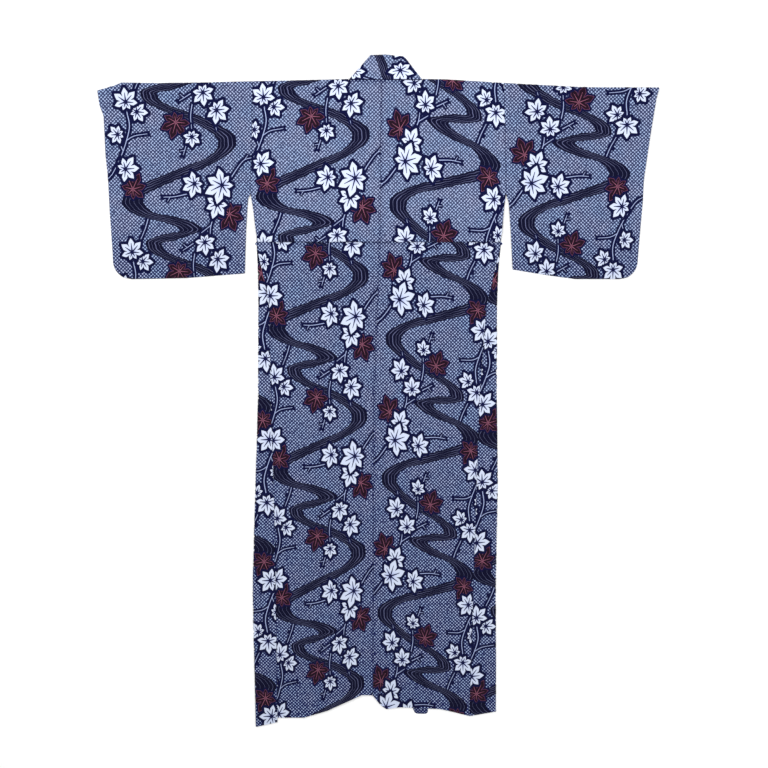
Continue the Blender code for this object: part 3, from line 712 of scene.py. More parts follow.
def spline(points, step):
    """A smooth line through points of any number of columns."""
    points = np.asarray(points, dtype=float)
    ends = np.concatenate((2 * points[:1] - points[1:2], points, 2 * points[-1:] - points[-2:-1]))
    line = []
    for index in range(1, len(ends) - 2):
        p0, p1, p2, p3 = ends[index - 1 : index + 3]
        far = max(np.linalg.norm((p2 - p1)[:2]), np.linalg.norm((p2 - p1)[2:4]))
        count = max(1, int(np.ceil(far / step)))
        for part in range(count):
            t = part / count
            line.append(
                0.5 * (2 * p1 + (p2 - p0) * t + (2 * p0 - 5 * p1 + 4 * p2 - p3) * t**2
                       + (3 * p1 - p0 - 3 * p2 + p3) * t**3)
            )
    line.append(ends[-2])
    return np.array(line)


def ribbon(line, left, right, first=0, last=None):
    """The band between two offsets from a line, or beside a part of that line."""
    flow = np.gradient(line, axis=0)
    flow /= np.linalg.norm(flow, axis=1, keepdims=True)
    across = np.stack((-flow[:, 1], flow[:, 0]), axis=-1)
    one = line + across * np.broadcast_to(left, len(line))[:, None]
    other = line + across * np.broadcast_to(right, len(line))[:, None]
    return np.concatenate((one[first:last], other[first:last][::-1]))


# The stream's banks spread by this much, and more where it is narrower than the first width
BANK_SPREAD = (0.0008, 0.0030)
BANK_NARROW = (0.034, 0.018)
# Each kind of leaf: its size, navy border, the veins' dye, their half width at the heart and at the end
LEAF_KINDS = {
    "white": (0.97, 0.0073, "vein", 0.0021, 0.0007),
    "red": (1.0, 0.0048, "rose_vein", 0.0008, 0.0003),
}
RED_RIM = 0.0008
VEIN_START = 0.09
VEIN_END = 0.70
# How far a branch's border runs past its core at both ends, its mean width and how much that varies
BORDER_PAST = (0.0015, 0.0025)
BORDER_SWELL = (1.22, 0.12)
CORE_TAPER = (0.66, 0.42)
# Buds of a forked end: degrees beside the branch, length; half widths of one from its foot to its tip
BUDS = ((42, 0.0115), (-38, 0.0095))
BUD_HALVES = np.array((0.0034, 0.0036, 0.0014))


def stream_shapes():
    """The stream over one repeat, with its pale lines."""
    stream = np.array(STREAM, dtype=float) / 1000
    shift = np.array((0.0, REPEAT, 0.0, REPEAT))
    line = spline(np.concatenate((stream[-3:] - shift, stream, stream[:4] + shift)), 0.006)
    first = int(np.argmin(np.linalg.norm(line - stream[0], axis=1)))
    last = int(np.argmin(np.linalg.norm(line - stream[0] - shift, axis=1))) + 1
    turn = 2 * pi * (np.arange(len(line)) - first) / (last - 1 - first)
    one, other = line[:, :2], line[:, 2:]
    waver = (0.0007 * np.sin(turn * 37) + 0.0004 * np.sin(turn * 23))[:, None]
    width = np.linalg.norm(other - one, axis=1, keepdims=True)
    across = (other - one) / width
    spread = BANK_SPREAD[0] + BANK_SPREAD[1] * smooth(width, *BANK_NARROW)
    one, other = one + across * (waver - spread), other + across * (waver + spread)
    flow = np.gradient(one + other, axis=0)
    flow /= np.linalg.norm(flow, axis=1, keepdims=True)
    square = abs((other - one)[:, 0] * flow[:, 1] - (other - one)[:, 1] * flow[:, 0])
    room = np.clip((square / BANK_NARROW[0]) ** 1.5, 0.22, 1.0)
    shapes = [(np.concatenate((one[first:last], other[first:last][::-1])), "stream", None)]
    for index, (share, half) in enumerate(STREAM_LINES):
        waver = 0.012 * np.sin(turn * (29 - 3 * index) + index)
        middle = one + (other - one) * (share + waver)[:, None]
        half = half / 1000 * room * (1 + 0.55 * np.sin(turn * (5 + index) + index * 2))
        shapes.append((ribbon(middle, half, -half, first, last), "stream_line", None))
    return shapes


def branch_shapes():
    """The branches' navy borders with their buds, then their light cores."""
    borders, cores = [], []
    for border, core, fork, *points in BRANCHES:
        path = spline(np.array(points) / 1000, 0.008)
        moves = np.diff(path, axis=0)
        ends = path.copy()
        ends[0] -= moves[0] / np.linalg.norm(moves[0]) * BORDER_PAST[0]
        ends[-1] += moves[-1] / np.linalg.norm(moves[-1]) * BORDER_PAST[1]
        swell = border / 1000 * (BORDER_SWELL[0] + BORDER_SWELL[1] * np.sin(np.arange(len(ends)) * 2.2))
        borders.append((ribbon(ends, swell, -swell), "navy", None))
        heading = np.arctan2(*moves[-1][::-1])
        for beside, far in BUDS if fork else ():
            ray = np.array((cos(heading + radians(beside)), sin(heading + radians(beside))))
            bud = np.array((path[-1] - ray * 0.001, path[-1] + ray * far * 0.6, path[-1] + ray * far))
            borders.append((ribbon(bud, BUD_HALVES, -BUD_HALVES), "navy", None))
        if core:
            taper = core / 1000 * np.linspace(*CORE_TAPER, len(path))
            cores.append((ribbon(path, taper, -taper), "branch", None))
    return borders + cores


def leaf_shapes():
    """Each leaf's navy border, its face and its seven veins."""
    shapes = []
    for kind, a, b, length, direction in LEAVES:
        size, border, vein_dye, start_half, end_half = LEAF_KINDS[kind]
        heart = np.array((a, b)) / 1000
        reach = length / 1000 * size
        edge = leaf_edge(reach, direction)
        shapes.append((heart + moved_edge(edge, border, 72), "navy", None))
        if kind == "white":
            shapes.append((heart + edge, "white", (heart, reach)))
        else:
            shapes.append((heart + edge, "rose", None))
            shapes.append((heart + moved_edge(edge, -RED_RIM, 96), "maroon", None))
        for turn, lobe_reach in zip(*lobes(reach, direction)):
            ray = np.array((cos(turn), sin(turn)))
            beside = np.array((-ray[1], ray[0]))
            tip = heart + ray * lobe_reach * VEIN_END
            low = heart + ray * reach * VEIN_START
            vein = np.array((
                heart, low + beside * start_half, tip + beside * end_half,
                tip - beside * end_half, low - beside * start_half,
            ))
            shapes.append((vein, vein_dye, None))
    return shapes


# One repeat of the print, in painting order: outline, dye, and a white leaf's heart and reach
UNIT = stream_shapes() + branch_shapes() + leaf_shapes()
REPEATS = range(-7, 8)


def inside(points, loop):
    """Which points lie in a closed loop."""
    result = np.zeros(len(points), dtype=bool)
    order = np.argsort(points[:, 1])
    across = points[order, 0]
    heights = points[order, 1]
    for (x0, y0), (x1, y1) in zip(loop, np.roll(loop, -1, axis=0)):
        if y0 == y1:
            continue
        low, high = np.searchsorted(heights, (min(y0, y1), max(y0, y1)))
        at = x0 + (heights[low:high] - y0) * (x1 - x0) / (y1 - y0)
        result[order[low:high]] ^= across[low:high] < at
    return result


GRID = 0.006
RIM = 0.0009


def printed(outline, place, extra, seams):
    """Cuts the outline into triangles along the print's edges: points, triangles, dye numbers, shapes."""
    low, high = outline.min(axis=0) - 0.01, outline.max(axis=0) + 0.01
    shapes = []
    for number in REPEATS:
        for points, dye, heart in UNIT:
            moved = place(points + np.array((0.0, number * REPEAT)))
            if (moved.max(axis=0) < low).any() or (moved.min(axis=0) > high).any():
                continue
            centre = None
            if heart is not None:
                middle = place((heart[0] + np.array((0.0, number * REPEAT)))[None])[0]
                centre = (middle, heart[1])
            shapes.append((moved, dye, centre))
    # Extra loops cut in navy: on the collar, a painted shadow line along its seam edge
    shapes += [(loop, "navy", None) for loop in seams]
    counts = np.ceil((high - low) / GRID).astype(int)
    across = low[0] + (np.arange(counts[0]) + 0.5) * GRID
    down = low[1] + (np.arange(counts[1]) + 0.5) * GRID
    points = np.stack(np.meshgrid(across, down), axis=-1).reshape(-1, 2)
    points = points[inside(points, outline)]
    near_edge = line_distance(points, np.concatenate((outline, outline[:1]))) < GRID * 0.35
    points = [*outline, *points[~near_edge]]
    edges = ring_edges(0, len(outline))
    points += list(extra)
    for loop, dye, centre in shapes:
        edges += ring_edges(len(points), len(loop))
        points += list(loop)
    result = delaunay_2d_cdt([Vector(point) for point in points], edges, [], 0, 1e-6, False)
    verts = np.array([tuple(vert) for vert in result[0]])
    triangles = []
    for face in result[2]:
        for index in range(1, len(face) - 1):
            triangles.append((face[0], face[index], face[index + 1]))
    triangles = np.array(triangles)
    middles = verts[triangles].mean(axis=1)
    keep = inside(middles, outline)
    triangles = triangles[keep]
    middles = middles[keep]
    dyes = np.full(len(triangles), -1)
    for number, (loop, dye, centre) in enumerate(shapes):
        least, most = loop.min(axis=0), loop.max(axis=0)
        close = np.flatnonzero(((middles > least) & (middles < most)).all(axis=1))
        dyes[close[inside(middles[close], loop)]] = number
    used = np.unique(triangles)
    lookup = np.full(len(verts), -1)
    lookup[used] = np.arange(len(used))
    return verts[used], lookup[triangles], dyes, shapes


def ring_edges(first, count):
    """Edges of a closed loop of points that are numbered from first."""
    return [(first + index, first + (index + 1) % count) for index in range(count)]


# How much darker the cloth is painted: painted shade in a seam and the centre back seam, round the neck, at
# the waist, low on the robe and on the tab below the hem; darker on the sleeves and paler on the collar
SEAM_SHADE = 0.30
CENTRE_SHADE = 0.42
NECK_SHADE = 0.45
WAIST_SHADE = 0.24
LOW_SHADE = (0.17, 0.09)
SLEEVE_DARK = 0.12
TAB_SHADE = 0.30
COLLAR_PALE = 0.15
# Half width of a seam's line of painted shade: full, gone; width of the back, where seams are looked for
SEAM_LINE = (0.0008, 0.0045)
BACK_REACH = (-0.336, 0.309)
# Depths over which painted shade darkens the cloth: at the waist, twice towards the hem, and on the tab below
# the hem
WAIST_SHADE_DEPTHS = (0.30, 0.50)
LOW_SHADE_DEPTHS = ((0.6, 1.3), (1.35, 1.65))
TAB_SHADE_DEPTHS = (1.641, 1.652)
TAB_X = (0.070, 0.125)
# Xs over which the cloth is made darker, from the armholes onto the sleeves
SLEEVE_DARK_SPAN = {LEFT: (0.328, 0.350), RIGHT: (0.300, 0.325)}


def shade_tone(x, depth):
    """The tone painted over the garment: painted light and shade make it paler about the shoulders and darker
    at the waist, towards the hem, in the seams, round the neck, under the tuck and on the tab below the hem;
    it is also darker on the sleeves and paler on the collar.
    """
    left, right = back_side(LEFT, depth), back_side(RIGHT, depth)
    # Painted shade along the centre back seam, the side seams and under the tuck's fold
    seam = CENTRE_SHADE * near(x, centre_seam(depth), *SEAM_LINE)
    seam = seam + SEAM_SHADE * (near(x, left, *SEAM_LINE) + near(x, right, *SEAM_LINE))
    seam = seam + SEAM_SHADE * near(depth, TUCK_DEPTH + 0.002, 0.001, 0.006)
    seam = seam * (x > BACK_REACH[0]) * (x < BACK_REACH[1]) * (depth > 0.002)
    # Painted shadow round the neck, under the collar's edge
    at_neck = (x > NECK[LEFT] - 0.002) * (x < NECK[RIGHT] + 0.002)
    seam = np.maximum(seam, NECK_SHADE * near(depth, 0.003, 0.001, 0.005) * at_neck)
    # Painted shade: darker at the waist and towards the hem, where less light falls
    low = LOW_SHADE[0] * smooth(depth, *LOW_SHADE_DEPTHS[0]) + LOW_SHADE[1] * smooth(depth, *LOW_SHADE_DEPTHS[1])
    sleeve = SLEEVE_DARK * (smooth(x, *SLEEVE_DARK_SPAN[RIGHT]) + smooth(-x, *SLEEVE_DARK_SPAN[LEFT]))
    collar = COLLAR_PALE * (depth < -0.0005)
    # Painted shade on the overlap's tab that shows below the hem
    low = low + TAB_SHADE * smooth(depth, *TAB_SHADE_DEPTHS) * (x > TAB_X[0]) * (x < TAB_X[1])
    return (1.0 + collar - WAIST_SHADE * smooth(depth, *WAIST_SHADE_DEPTHS) - low - sleeve) * (1 - seam)


# Shares of a white leaf's reach between which its heart's tint fades out
HEART_RANGE = (0.02, 0.42)
# How strongly the painted shade darkens the lattice's dye (a power) and the motifs (a share)
GROUND_SHADE_POWER = 0.7
MOTIF_SHADE_SHARE = 0.45


def face_colours(flat, laid, triangles, dyes, shapes):
    """Dye at each face's corners, darkened by the painted shade, with the painted shade tone as a fourth
    number.
    """
    names = ["ground"] + [dye for loop, dye, centre in shapes]
    colours = np.array([DYES[name] for name in names])[dyes + 1]
    colours = np.repeat(colours[:, None, :], 3, axis=1)
    for number, (loop, dye, centre) in enumerate(shapes):
        chosen = dyes == number
        if centre is None or not chosen.any():
            continue
        gaps = np.linalg.norm(flat[triangles[chosen]] - centre[0], axis=2) / centre[1]
        share = smooth(gaps, *HEART_RANGE)[..., None]
        colours[chosen] = DYES["white_heart"] * (1 - share) + DYES["white"] * share
    tone = shade_tone(laid[:, 0], laid[:, 1])[triangles]
    tint = np.where((dyes < 0)[:, None], tone**GROUND_SHADE_POWER, 1 - MOTIF_SHADE_SHARE * (1 - tone))
    return np.concatenate((colours * tint[..., None], tone[..., None]), axis=2)


def border_rim(points, triangles, normals, thickness):
    """A strip turned down round the border: its points, the ring they lie under, faces and their owners."""
    point_normals = np.zeros_like(points)
    for corner in range(3):
        np.add.at(point_normals, triangles[:, corner], normals)
    point_normals /= np.maximum(np.linalg.norm(point_normals, axis=1, keepdims=True), 1e-12)
    edges = np.concatenate((triangles[:, (0, 1)], triangles[:, (1, 2)], triangles[:, (2, 0)]))
    keys = np.sort(edges, axis=1)
    keys = keys[:, 0].astype(np.int64) * len(points) + keys[:, 1]
    _, first, count = np.unique(keys, return_index=True, return_counts=True)
    border = first[count == 1]
    start, end = edges[border].T
    ring = np.unique(edges[border])
    below = np.full(len(points), -1)
    below[ring] = len(points) + np.arange(len(ring))
    faces = np.concatenate((
        np.stack((end, start, below[start]), axis=-1),
        np.stack((end, below[start], below[end]), axis=-1),
    ))
    owners = np.tile(border % len(triangles), 2)
    return points[ring] - point_normals[ring] * thickness, ring, faces, owners


def cut_panel(outline, place, surface, facing, rim=RIM, extra=(), seams=(), cloth=None):
    """A printed shell: outline and print in flat coordinates, then laid on its surface."""
    flat, triangles, dyes, shapes = printed(outline, place, extra, seams)
    laid = surface(flat[:, 0], flat[:, 1])
    points = laid * np.array((1, -1, 1))
    corners = points[triangles]
    normals = np.cross(corners[:, 1] - corners[:, 0], corners[:, 2] - corners[:, 0])
    if facing(normals, corners.mean(axis=1)) < 0:
        triangles = triangles[:, ::-1]
        normals = -normals
    colours = face_colours(flat, laid, triangles, dyes, shapes)
    sheet = cloth(flat, laid, triangles) if cloth else flat[triangles]
    inner, ring, faces, owners = border_rim(points, triangles, normals, rim)
    flat = np.concatenate((flat, flat[ring]))
    return (
        np.concatenate((points, inner)),
        np.concatenate((triangles, faces)),
        np.concatenate((colours, colours[owners])),
        np.concatenate((dyes, dyes[owners])) < 0,
        np.concatenate((sheet, flat[faces])),
    )


def build(name, panels, material):
    """One piece of cloth from its printed shells."""
    starts = np.cumsum([0] + [len(panel[0]) for panel in panels])
    points, triangles, colours, ground, sheet = zip(*panels)
    points = np.concatenate(points) + SHIFT
    points[:, 2] = np.maximum(points[:, 2], 0.0)
    triangles = np.concatenate([part + start for part, start in zip(triangles, starts)])
    ground = np.repeat(np.concatenate(ground).astype(float), 3)
    mesh = bpy.data.meshes.new(name)
    mesh.from_pydata(points.tolist(), [], triangles.tolist())
    layer = mesh.uv_layers.new(name="cloth")
    layer.data.foreach_set("uv", np.concatenate(sheet).reshape(-1).astype(np.float32))
    # Dye colours darkened by painted shade, with the painted shade tone in the alpha
    ink_and_shade = mesh.color_attributes.new(name="ink_and_shade", type="FLOAT_COLOR", domain="CORNER")
    ink_and_shade.data.foreach_set("color", np.concatenate(colours).reshape(-1).astype(np.float32))
    plain = mesh.attributes.new(name="ground", type="FLOAT", domain="CORNER")
    plain.data.foreach_set("value", ground.astype(np.float32))
    mesh.materials.append(material)
    mesh.shade_smooth()
    mesh.set_sharp_from_angle(angle=radians(48))
    piece = bpy.data.objects.new(name, mesh)
    bpy.context.scene.collection.objects.link(piece)
    return piece


class Nodes:
    """Short ways to add and link shader nodes."""

    def __init__(self, material):
        material.use_nodes = True
        self.tree = material.node_tree
        self.shader = self.tree.nodes["Principled BSDF"]

    def add(self, kind, **settings):
        node = self.tree.nodes.new(kind)
        for name, value in settings.items():
            setattr(node, name, value)
        return node

    def link(self, start, end):
        self.tree.links.new(start, end)

    def feed(self, socket, value):
        """Sets a socket to a number or a colour, or links it to another node's output."""
        if isinstance(value, (int, float, tuple)):
            socket.default_value = value
        else:
            self.link(value, socket)

    def math(self, operation, *values):
        node = self.add("ShaderNodeMath", operation=operation)
        for socket, value in zip(node.inputs, values):
            self.feed(socket, value)
        return node.outputs[0]

    def mix(self, share, first, second, **settings):
        node = self.add("ShaderNodeMix", data_type="RGBA", **settings)
        for number, value in ((0, share), (6, first), (7, second)):
            self.feed(node.inputs[number], value)
        return node.outputs[2]

    def noise(self, place, scale, detail):
        node = self.add("ShaderNodeTexNoise", noise_dimensions="2D")
        for name, value in (("Vector", place), ("Scale", scale), ("Detail", detail)):
            self.feed(node.inputs[name], value)
        return node.outputs[0]

    def remap(self, value, start, end, low, high, **settings):
        node = self.add("ShaderNodeMapRange", **settings)
        names = ("Value", "From Min", "From Max", "To Min", "To Max")
        for name, number in zip(names, (value, start, end, low, high)):
            self.feed(node.inputs[name], number)
        return node.outputs[0]


# Spacing of the lattice's lines along the threads, and of the threads themselves
LATTICE_PITCH = 0.0089
THREAD_PITCH = 0.0011
# Noises on the cloth, scale and detail: unevenness of the dots, broad clouds of dye, fine specks
UNEVEN_NOISE = (260.0, 0.0)
CLOUD_NOISE = (16.0, 3.0)
SPECK_NOISE = (900.0, 2.0)
UNEVEN = 1.4
# Where the painted shade tone is low, dots shrink by the first, gain contrast by the second and lose base by
# the third
TONE_SIZE = 0.22
TONE_CONTRAST = 0.62
TONE_BASE = 0.15
DOT_RANGE = (0.17, 0.48)
DOT_CONTRAST = 1.28
DOT_BASE = 0.070
CLOUD_TINTS = ((0.80, 0.98, 1.06, 1.0), (1.20, 1.01, 0.97, 1.0))
SPECK_RANGE = (0.25, 0.75)
SPECK_LIGHT = (0.94, 1.06)
DRY_ROUGHNESS = (0.78, 0.94)
BUMP_STRENGTH = 0.14
BUMP_DISTANCE = 0.0003


def cotton(name):
    """Printed cotton: dyed shapes from the mesh with their painted shade, a lattice of fine dots on the
    ground, plain weave.
    """
    material = bpy.data.materials.new(name)
    kit = Nodes(material)
    ink_and_shade = kit.add("ShaderNodeAttribute", attribute_name="ink_and_shade")
    ground = kit.add("ShaderNodeAttribute", attribute_name="ground").outputs["Fac"]
    # The alpha is the painted shade tone, which makes the dots smaller where the cloth is painted darker
    tone = ink_and_shade.outputs["Alpha"]
    place = kit.add("ShaderNodeUVMap", uv_map="cloth").outputs[0]
    split = kit.add("ShaderNodeSeparateXYZ")
    kit.link(place, split.inputs[0])
    across, along = split.outputs[0], split.outputs[1]

    def wave(value, pitch):
        return kit.math("SINE", kit.math("MULTIPLY", value, 2 * pi / pitch))

    first = wave(kit.math("ADD", across, along), LATTICE_PITCH)
    second = wave(kit.math("SUBTRACT", across, along), LATTICE_PITCH)
    lattice = kit.math("MULTIPLY", kit.math("ADD", first, second), 0.5)
    uneven = kit.math("SUBTRACT", kit.noise(place, *UNEVEN_NOISE), 0.5)
    uneven = kit.math("MULTIPLY", uneven, UNEVEN)
    shaded_smaller = kit.math("MULTIPLY", kit.math("SUBTRACT", tone, 1.0), TONE_SIZE)
    size = kit.math("ADD", kit.math("ADD", lattice, uneven), shaded_smaller)
    dots = kit.remap(size, *DOT_RANGE, 0.0, 1.0, interpolation_type="SMOOTHSTEP")
    contrast = kit.math("SUBTRACT", DOT_CONTRAST, kit.math("MULTIPLY", tone, TONE_CONTRAST))
    least = kit.math("SUBTRACT", kit.math("MULTIPLY", tone, TONE_BASE), DOT_BASE)
    share = kit.math("ADD", kit.math("MULTIPLY", dots, contrast), least)
    dotted = kit.mix(share, (*NAVY_GROUND, 1.0), ink_and_shade.outputs["Color"])
    cloud = kit.noise(place, *CLOUD_NOISE)
    tint = kit.mix(cloud, *CLOUD_TINTS)
    colour = kit.mix(ground, ink_and_shade.outputs["Color"], kit.mix(1.0, dotted, tint, blend_type="MULTIPLY"))
    speck = kit.noise(place, *SPECK_NOISE)
    scale = kit.add("ShaderNodeVectorMath", operation="SCALE")
    kit.link(colour, scale.inputs[0])
    kit.link(kit.remap(speck, *SPECK_RANGE, *SPECK_LIGHT), scale.inputs["Scale"])
    kit.link(scale.outputs[0], kit.shader.inputs["Base Color"])
    weave = kit.math("MULTIPLY", wave(across, THREAD_PITCH), wave(along, THREAD_PITCH))
    bump = kit.add("ShaderNodeBump")
    bump.inputs["Strength"].default_value = BUMP_STRENGTH
    bump.inputs["Distance"].default_value = BUMP_DISTANCE
    kit.link(kit.math("ADD", kit.math("MULTIPLY", weave, 0.5), speck), bump.inputs["Height"])
    kit.link(bump.outputs[0], kit.shader.inputs["Normal"])
    kit.link(kit.remap(cloud, 0.0, 1.0, *DRY_ROUGHNESS), kit.shader.inputs["Roughness"])
    for name, value in (("Specular IOR Level", 0.12), ("Sheen Weight", 0.02), ("Sheen Roughness", 0.5)):
        kit.shader.inputs[name].default_value = value
    return material


STEP = 0.006
FINE_STEP = 0.0008
ROW_STEP = 0.004
LOW_TOP = TUCK_DEPTH - 0.008


def line_of(x, depths):
    """Points along a line: x for each depth, or one number for either."""
    return np.stack(np.broadcast_arrays(x, depths), axis=-1)


def steps(start, end, spacing=STEP):
    return np.linspace(start, end, max(2, int(np.ceil(abs(end - start) / spacing)) + 1))


def read(value, rows):
    """One number from a two-column table."""
    return float(table(value, rows))


def turned_end(x):
    """Depth, run on round the fold, at which the back's upper layer has turned over the shoulder."""
    return fold_start(x) - pi * (fold_radius(x) + CLOTH / 2)


def upper_outline(side):
    neck = NECK[side]
    gap = side * SEAM_GAP / 2
    inner = float(centre_seam(0.0)) + gap
    outer = float(side_edge(side, 0.0)) - gap
    end = UPPER_ROLL_START + UPPER_ROLL_RADIUS * 2.9
    down = steps(float(fold_start(inner)), UPPER_ROLL_START)
    down = np.concatenate((down, steps(UPPER_ROLL_START, end, FINE_STEP)[1:]))
    seam = line_of(centre_seam(down) + gap, down)
    low = line_of(steps(seam[-1, 0], float(back_side(side, TUCK_DEPTH))), end)[1:-1]
    rows = np.concatenate((down[::-1], steps(down[0], float(turned_end(outer)), 0.0009)[1:]))
    edge = line_of(back_side(side, np.clip(rows, 0.0, TUCK_DEPTH)), rows)
    top_x = steps(outer, neck)[1:]
    top = line_of(top_x, turned_end(top_x))
    at_neck = line_of(neck, steps(top[-1, 1], float(fold_start(neck)), 0.0009))[1:]
    neck_x = steps(neck, inner)[1:-1]
    return np.concatenate((seam, low, edge, top, at_neck, line_of(neck_x, fold_start(neck_x))))


def lower_outline(side):
    gap = side * SEAM_GAP / 2
    down = steps(LOW_TOP, read(centre_seam(CENTRE_HEM_NEAR) + gap, BACK_HEM))
    seam = line_of(centre_seam(down) + gap, down)
    outer_hem = float(back_side(side, BACK_HEM_NEAR))
    hem_x = steps(seam[-1, 0], outer_hem)[1:-1]
    rows = steps(read(outer_hem, BACK_HEM), LOW_TOP, ROW_STEP)
    edge = line_of(back_side(side, rows), rows)
    top_x = steps(edge[-1, 0], seam[0, 0])[1:-1]
    return np.concatenate((seam, line_of(hem_x, table(hem_x, BACK_HEM)), edge, line_of(top_x, LOW_TOP)))


def front_outline(side):
    neck = NECK[side]
    gap = side * SEAM_GAP / 2
    down = steps(float(fold_start(neck)), read(front_edge(side, FRONT_HEM_NEAR), FRONT_HEM))
    seam = line_of(front_edge(side, down) + gap, down)
    hem_edge, hem_seam = WRAP_HEM[side]
    wrap = wrap_shape(side, WRAP_HEM_NEAR)
    start, strip = float(wrap.start), float(wrap.strip)
    hem_x = steps(seam[-1, 0], start)[1:]
    arc = line_of(start + side * steps(0.0, ROLL, FINE_STEP)[1:], hem_edge)
    spread = steps(0.0, strip)[1:]
    lap = line_of(start + side * (ROLL + spread), hem_edge + (hem_seam - hem_edge) * spread / strip)
    rows = steps(hem_seam, FREE_EDGE_END, ROW_STEP)[1:]
    wrap = wrap_shape(side, rows)
    edge = line_of(wrap.start + side * (ROLL + wrap.strip), rows)
    free = steps(FREE_EDGE_END, float(fold_start(side_edge(side, 0.0))))[1:]
    upper = line_of(side_edge(side, free) - gap, free)
    top_x = steps(upper[-1, 0], neck)[1:-1]
    hem = line_of(hem_x, table(hem_x, FRONT_HEM))
    return np.concatenate((seam, hem, arc, lap, edge, upper, line_of(top_x, fold_start(top_x))))


def roll_points(side):
    """Extra points along the rolled side edges."""
    points = []
    for depth in steps(FREE_EDGE_END, 1.67, 0.008):
        start = float(wrap_shape(side, depth).start)
        for past in np.linspace(-0.0008, ROLL + 0.0012, 8):
            points.append((start + side * past, depth))
    return points


def under_leaf(points):
    """The same places on the sleeve's leaf underneath, run on round its top fold."""
    return line_of(points[:, 0], 2 * sleeve_fold(points[:, 0]) - pi * SLEEVE_RADIUS - points[:, 1])


def sleeve_outline(side):
    inner = [sleeve_point(side, 0.0, down) for down in np.linspace(0.0, 1.0, 90)]
    bottom = [sleeve_point(side, across, 1.0) for across in np.linspace(0.0, 1.0, 70)[1:]]
    outer = [sleeve_point(side, 1.0, down) for down in np.linspace(1.0, 0.0, 110)[1:]]
    upper = np.array([(x, depth) for x, depth in inner + bottom + outer if depth > sleeve_fold(x)])
    turns = np.linspace(0.0, pi, 8)
    over_outer = line_of(upper[-1, 0], sleeve_fold(upper[-1, 0]) - turns * SLEEVE_RADIUS)
    over_inner = line_of(upper[0, 0], sleeve_fold(upper[0, 0]) - turns[::-1] * SLEEVE_RADIUS)
    return np.concatenate((upper, over_outer, under_leaf(upper)[::-1], over_inner))


def fold_points(xs, start, radius):
    """Extra points across a fold along its whole length."""
    return [(x, start(x) - turn * radius(x)) for x in xs for turn in np.linspace(-0.5, pi + 0.5, 9)]


def sewn_points(side):
    """Extra points inside the sleeve's sewn edges, on both leaves."""
    line = dense(sewn_line(side), 0.005)[:-1]
    flow = np.gradient(line, axis=0)
    flow /= np.maximum(np.linalg.norm(flow, axis=1, keepdims=True), 1e-9)
    inward = np.stack((-flow[:, 1], flow[:, 0]), axis=-1)
    middle = np.array(sleeve_point(side, 0.5, 0.5))
    inward *= np.sign(((middle - line) * inward).sum(axis=1))[:, None]
    points = []
    for gap in (0.0004, 0.0011, 0.0022, 0.0036):
        moved = line + inward * gap
        points += [*moved, *under_leaf(moved)]
    return points


def overlap_outline(side):
    free = OVERLAP_EDGE[side]
    hem = OVERLAP_HEM if side < 0 else FRONT_HEM
    gap = side * SEAM_GAP / 2
    down = steps(OVERLAP_TOP, read(front_edge(side, FRONT_HEM_NEAR), hem))
    seam = line_of(front_edge(side, down) - gap, down)
    hem_x = steps(seam[-1, 0], free)[1:]
    bottom = line_of(hem_x, table(hem_x, hem))
    corner = bottom[-1].copy()
    turns = np.linspace(0, pi / 2, 5)
    rounding = corner + OVERLAP_ROUND * line_of(side * (1 - np.sin(turns)), np.cos(turns) - 1)
    bottom = np.concatenate((bottom[abs(bottom[:, 0] - free) > OVERLAP_ROUND + 0.001], rounding))
    rows = steps(bottom[-1, 1], BAND_END + BAND_END_DROP + 2 * SEAM_GAP)[1:]
    band_x = float(band_line(side, BAND_END))
    slope_x = steps(free, band_x)[1:-1]
    share = (slope_x - free) / (band_x - free)
    cap = line_of(slope_x, rows[-1] + (BAND_END + SEAM_GAP - rows[-1]) * share)
    up = steps(BAND_END + SEAM_GAP, OVERLAP_TOP)[:-1]
    return np.concatenate((seam, bottom, line_of(free, rows), cap, line_of(band_line(side, up) + gap, up)))


def slant(side):
    """Ends of the slanted fold where the band turns from the back neck to the fronts."""
    low = (NECK[side] - side * SEAM_GAP, float(fold_start(0.0)) - SEAM_GAP)
    return np.array(low), np.array(COLLAR_PEAK[side])


def meet_slant(side, point, direction, inset):
    """Where a line meets the slanted fold moved in by inset."""
    low, high = slant(side)
    along = (high - low) / np.linalg.norm(high - low)
    inward = np.array((-side * abs(along[1]), abs(along[0])))
    matrix = np.array((direction, -along)).T
    share = np.linalg.solve(matrix, low + inward * inset - np.array(point))[0]
    return np.array(point) + np.array(direction) * share, inward


# Depths between which the band's slope on a front is read, and at which its rows start
SLOPE_START = 0.1
SLOPE_END = 0.5
BAND_START = 0.02
BAND_ROWS = (BAND_START, 0.03, 0.045, 0.06, 0.08, 0.10, 0.12, 0.14, 0.16, 0.20)
NECK_ROWS = 11
TURN_ROWS = 12
BAND_LINES_ACROSS = 9


def band_edges(side, depth):
    """The band's seam edge and fold edge on a front, for a row at this depth."""
    start = np.array((float(band_line(side, depth)) - side * SEAM_GAP / 2, depth))
    slope = float(band_line(side, SLOPE_END) - band_line(side, SLOPE_START)) / (SLOPE_END - SLOPE_START)
    across = np.array((1.0, -side * slope)) * -side / sqrt(1 + slope**2)
    square = start + across * BAND_WIDTH
    skewed = np.array((square[0], square[1] - BAND_SKEW))
    end = skewed + (square - skewed) * float(smooth(depth, 0.0, BAND_SQUARE))
    if depth == BAND_END:
        end[1] = depth + BAND_END_DROP
    return start, end


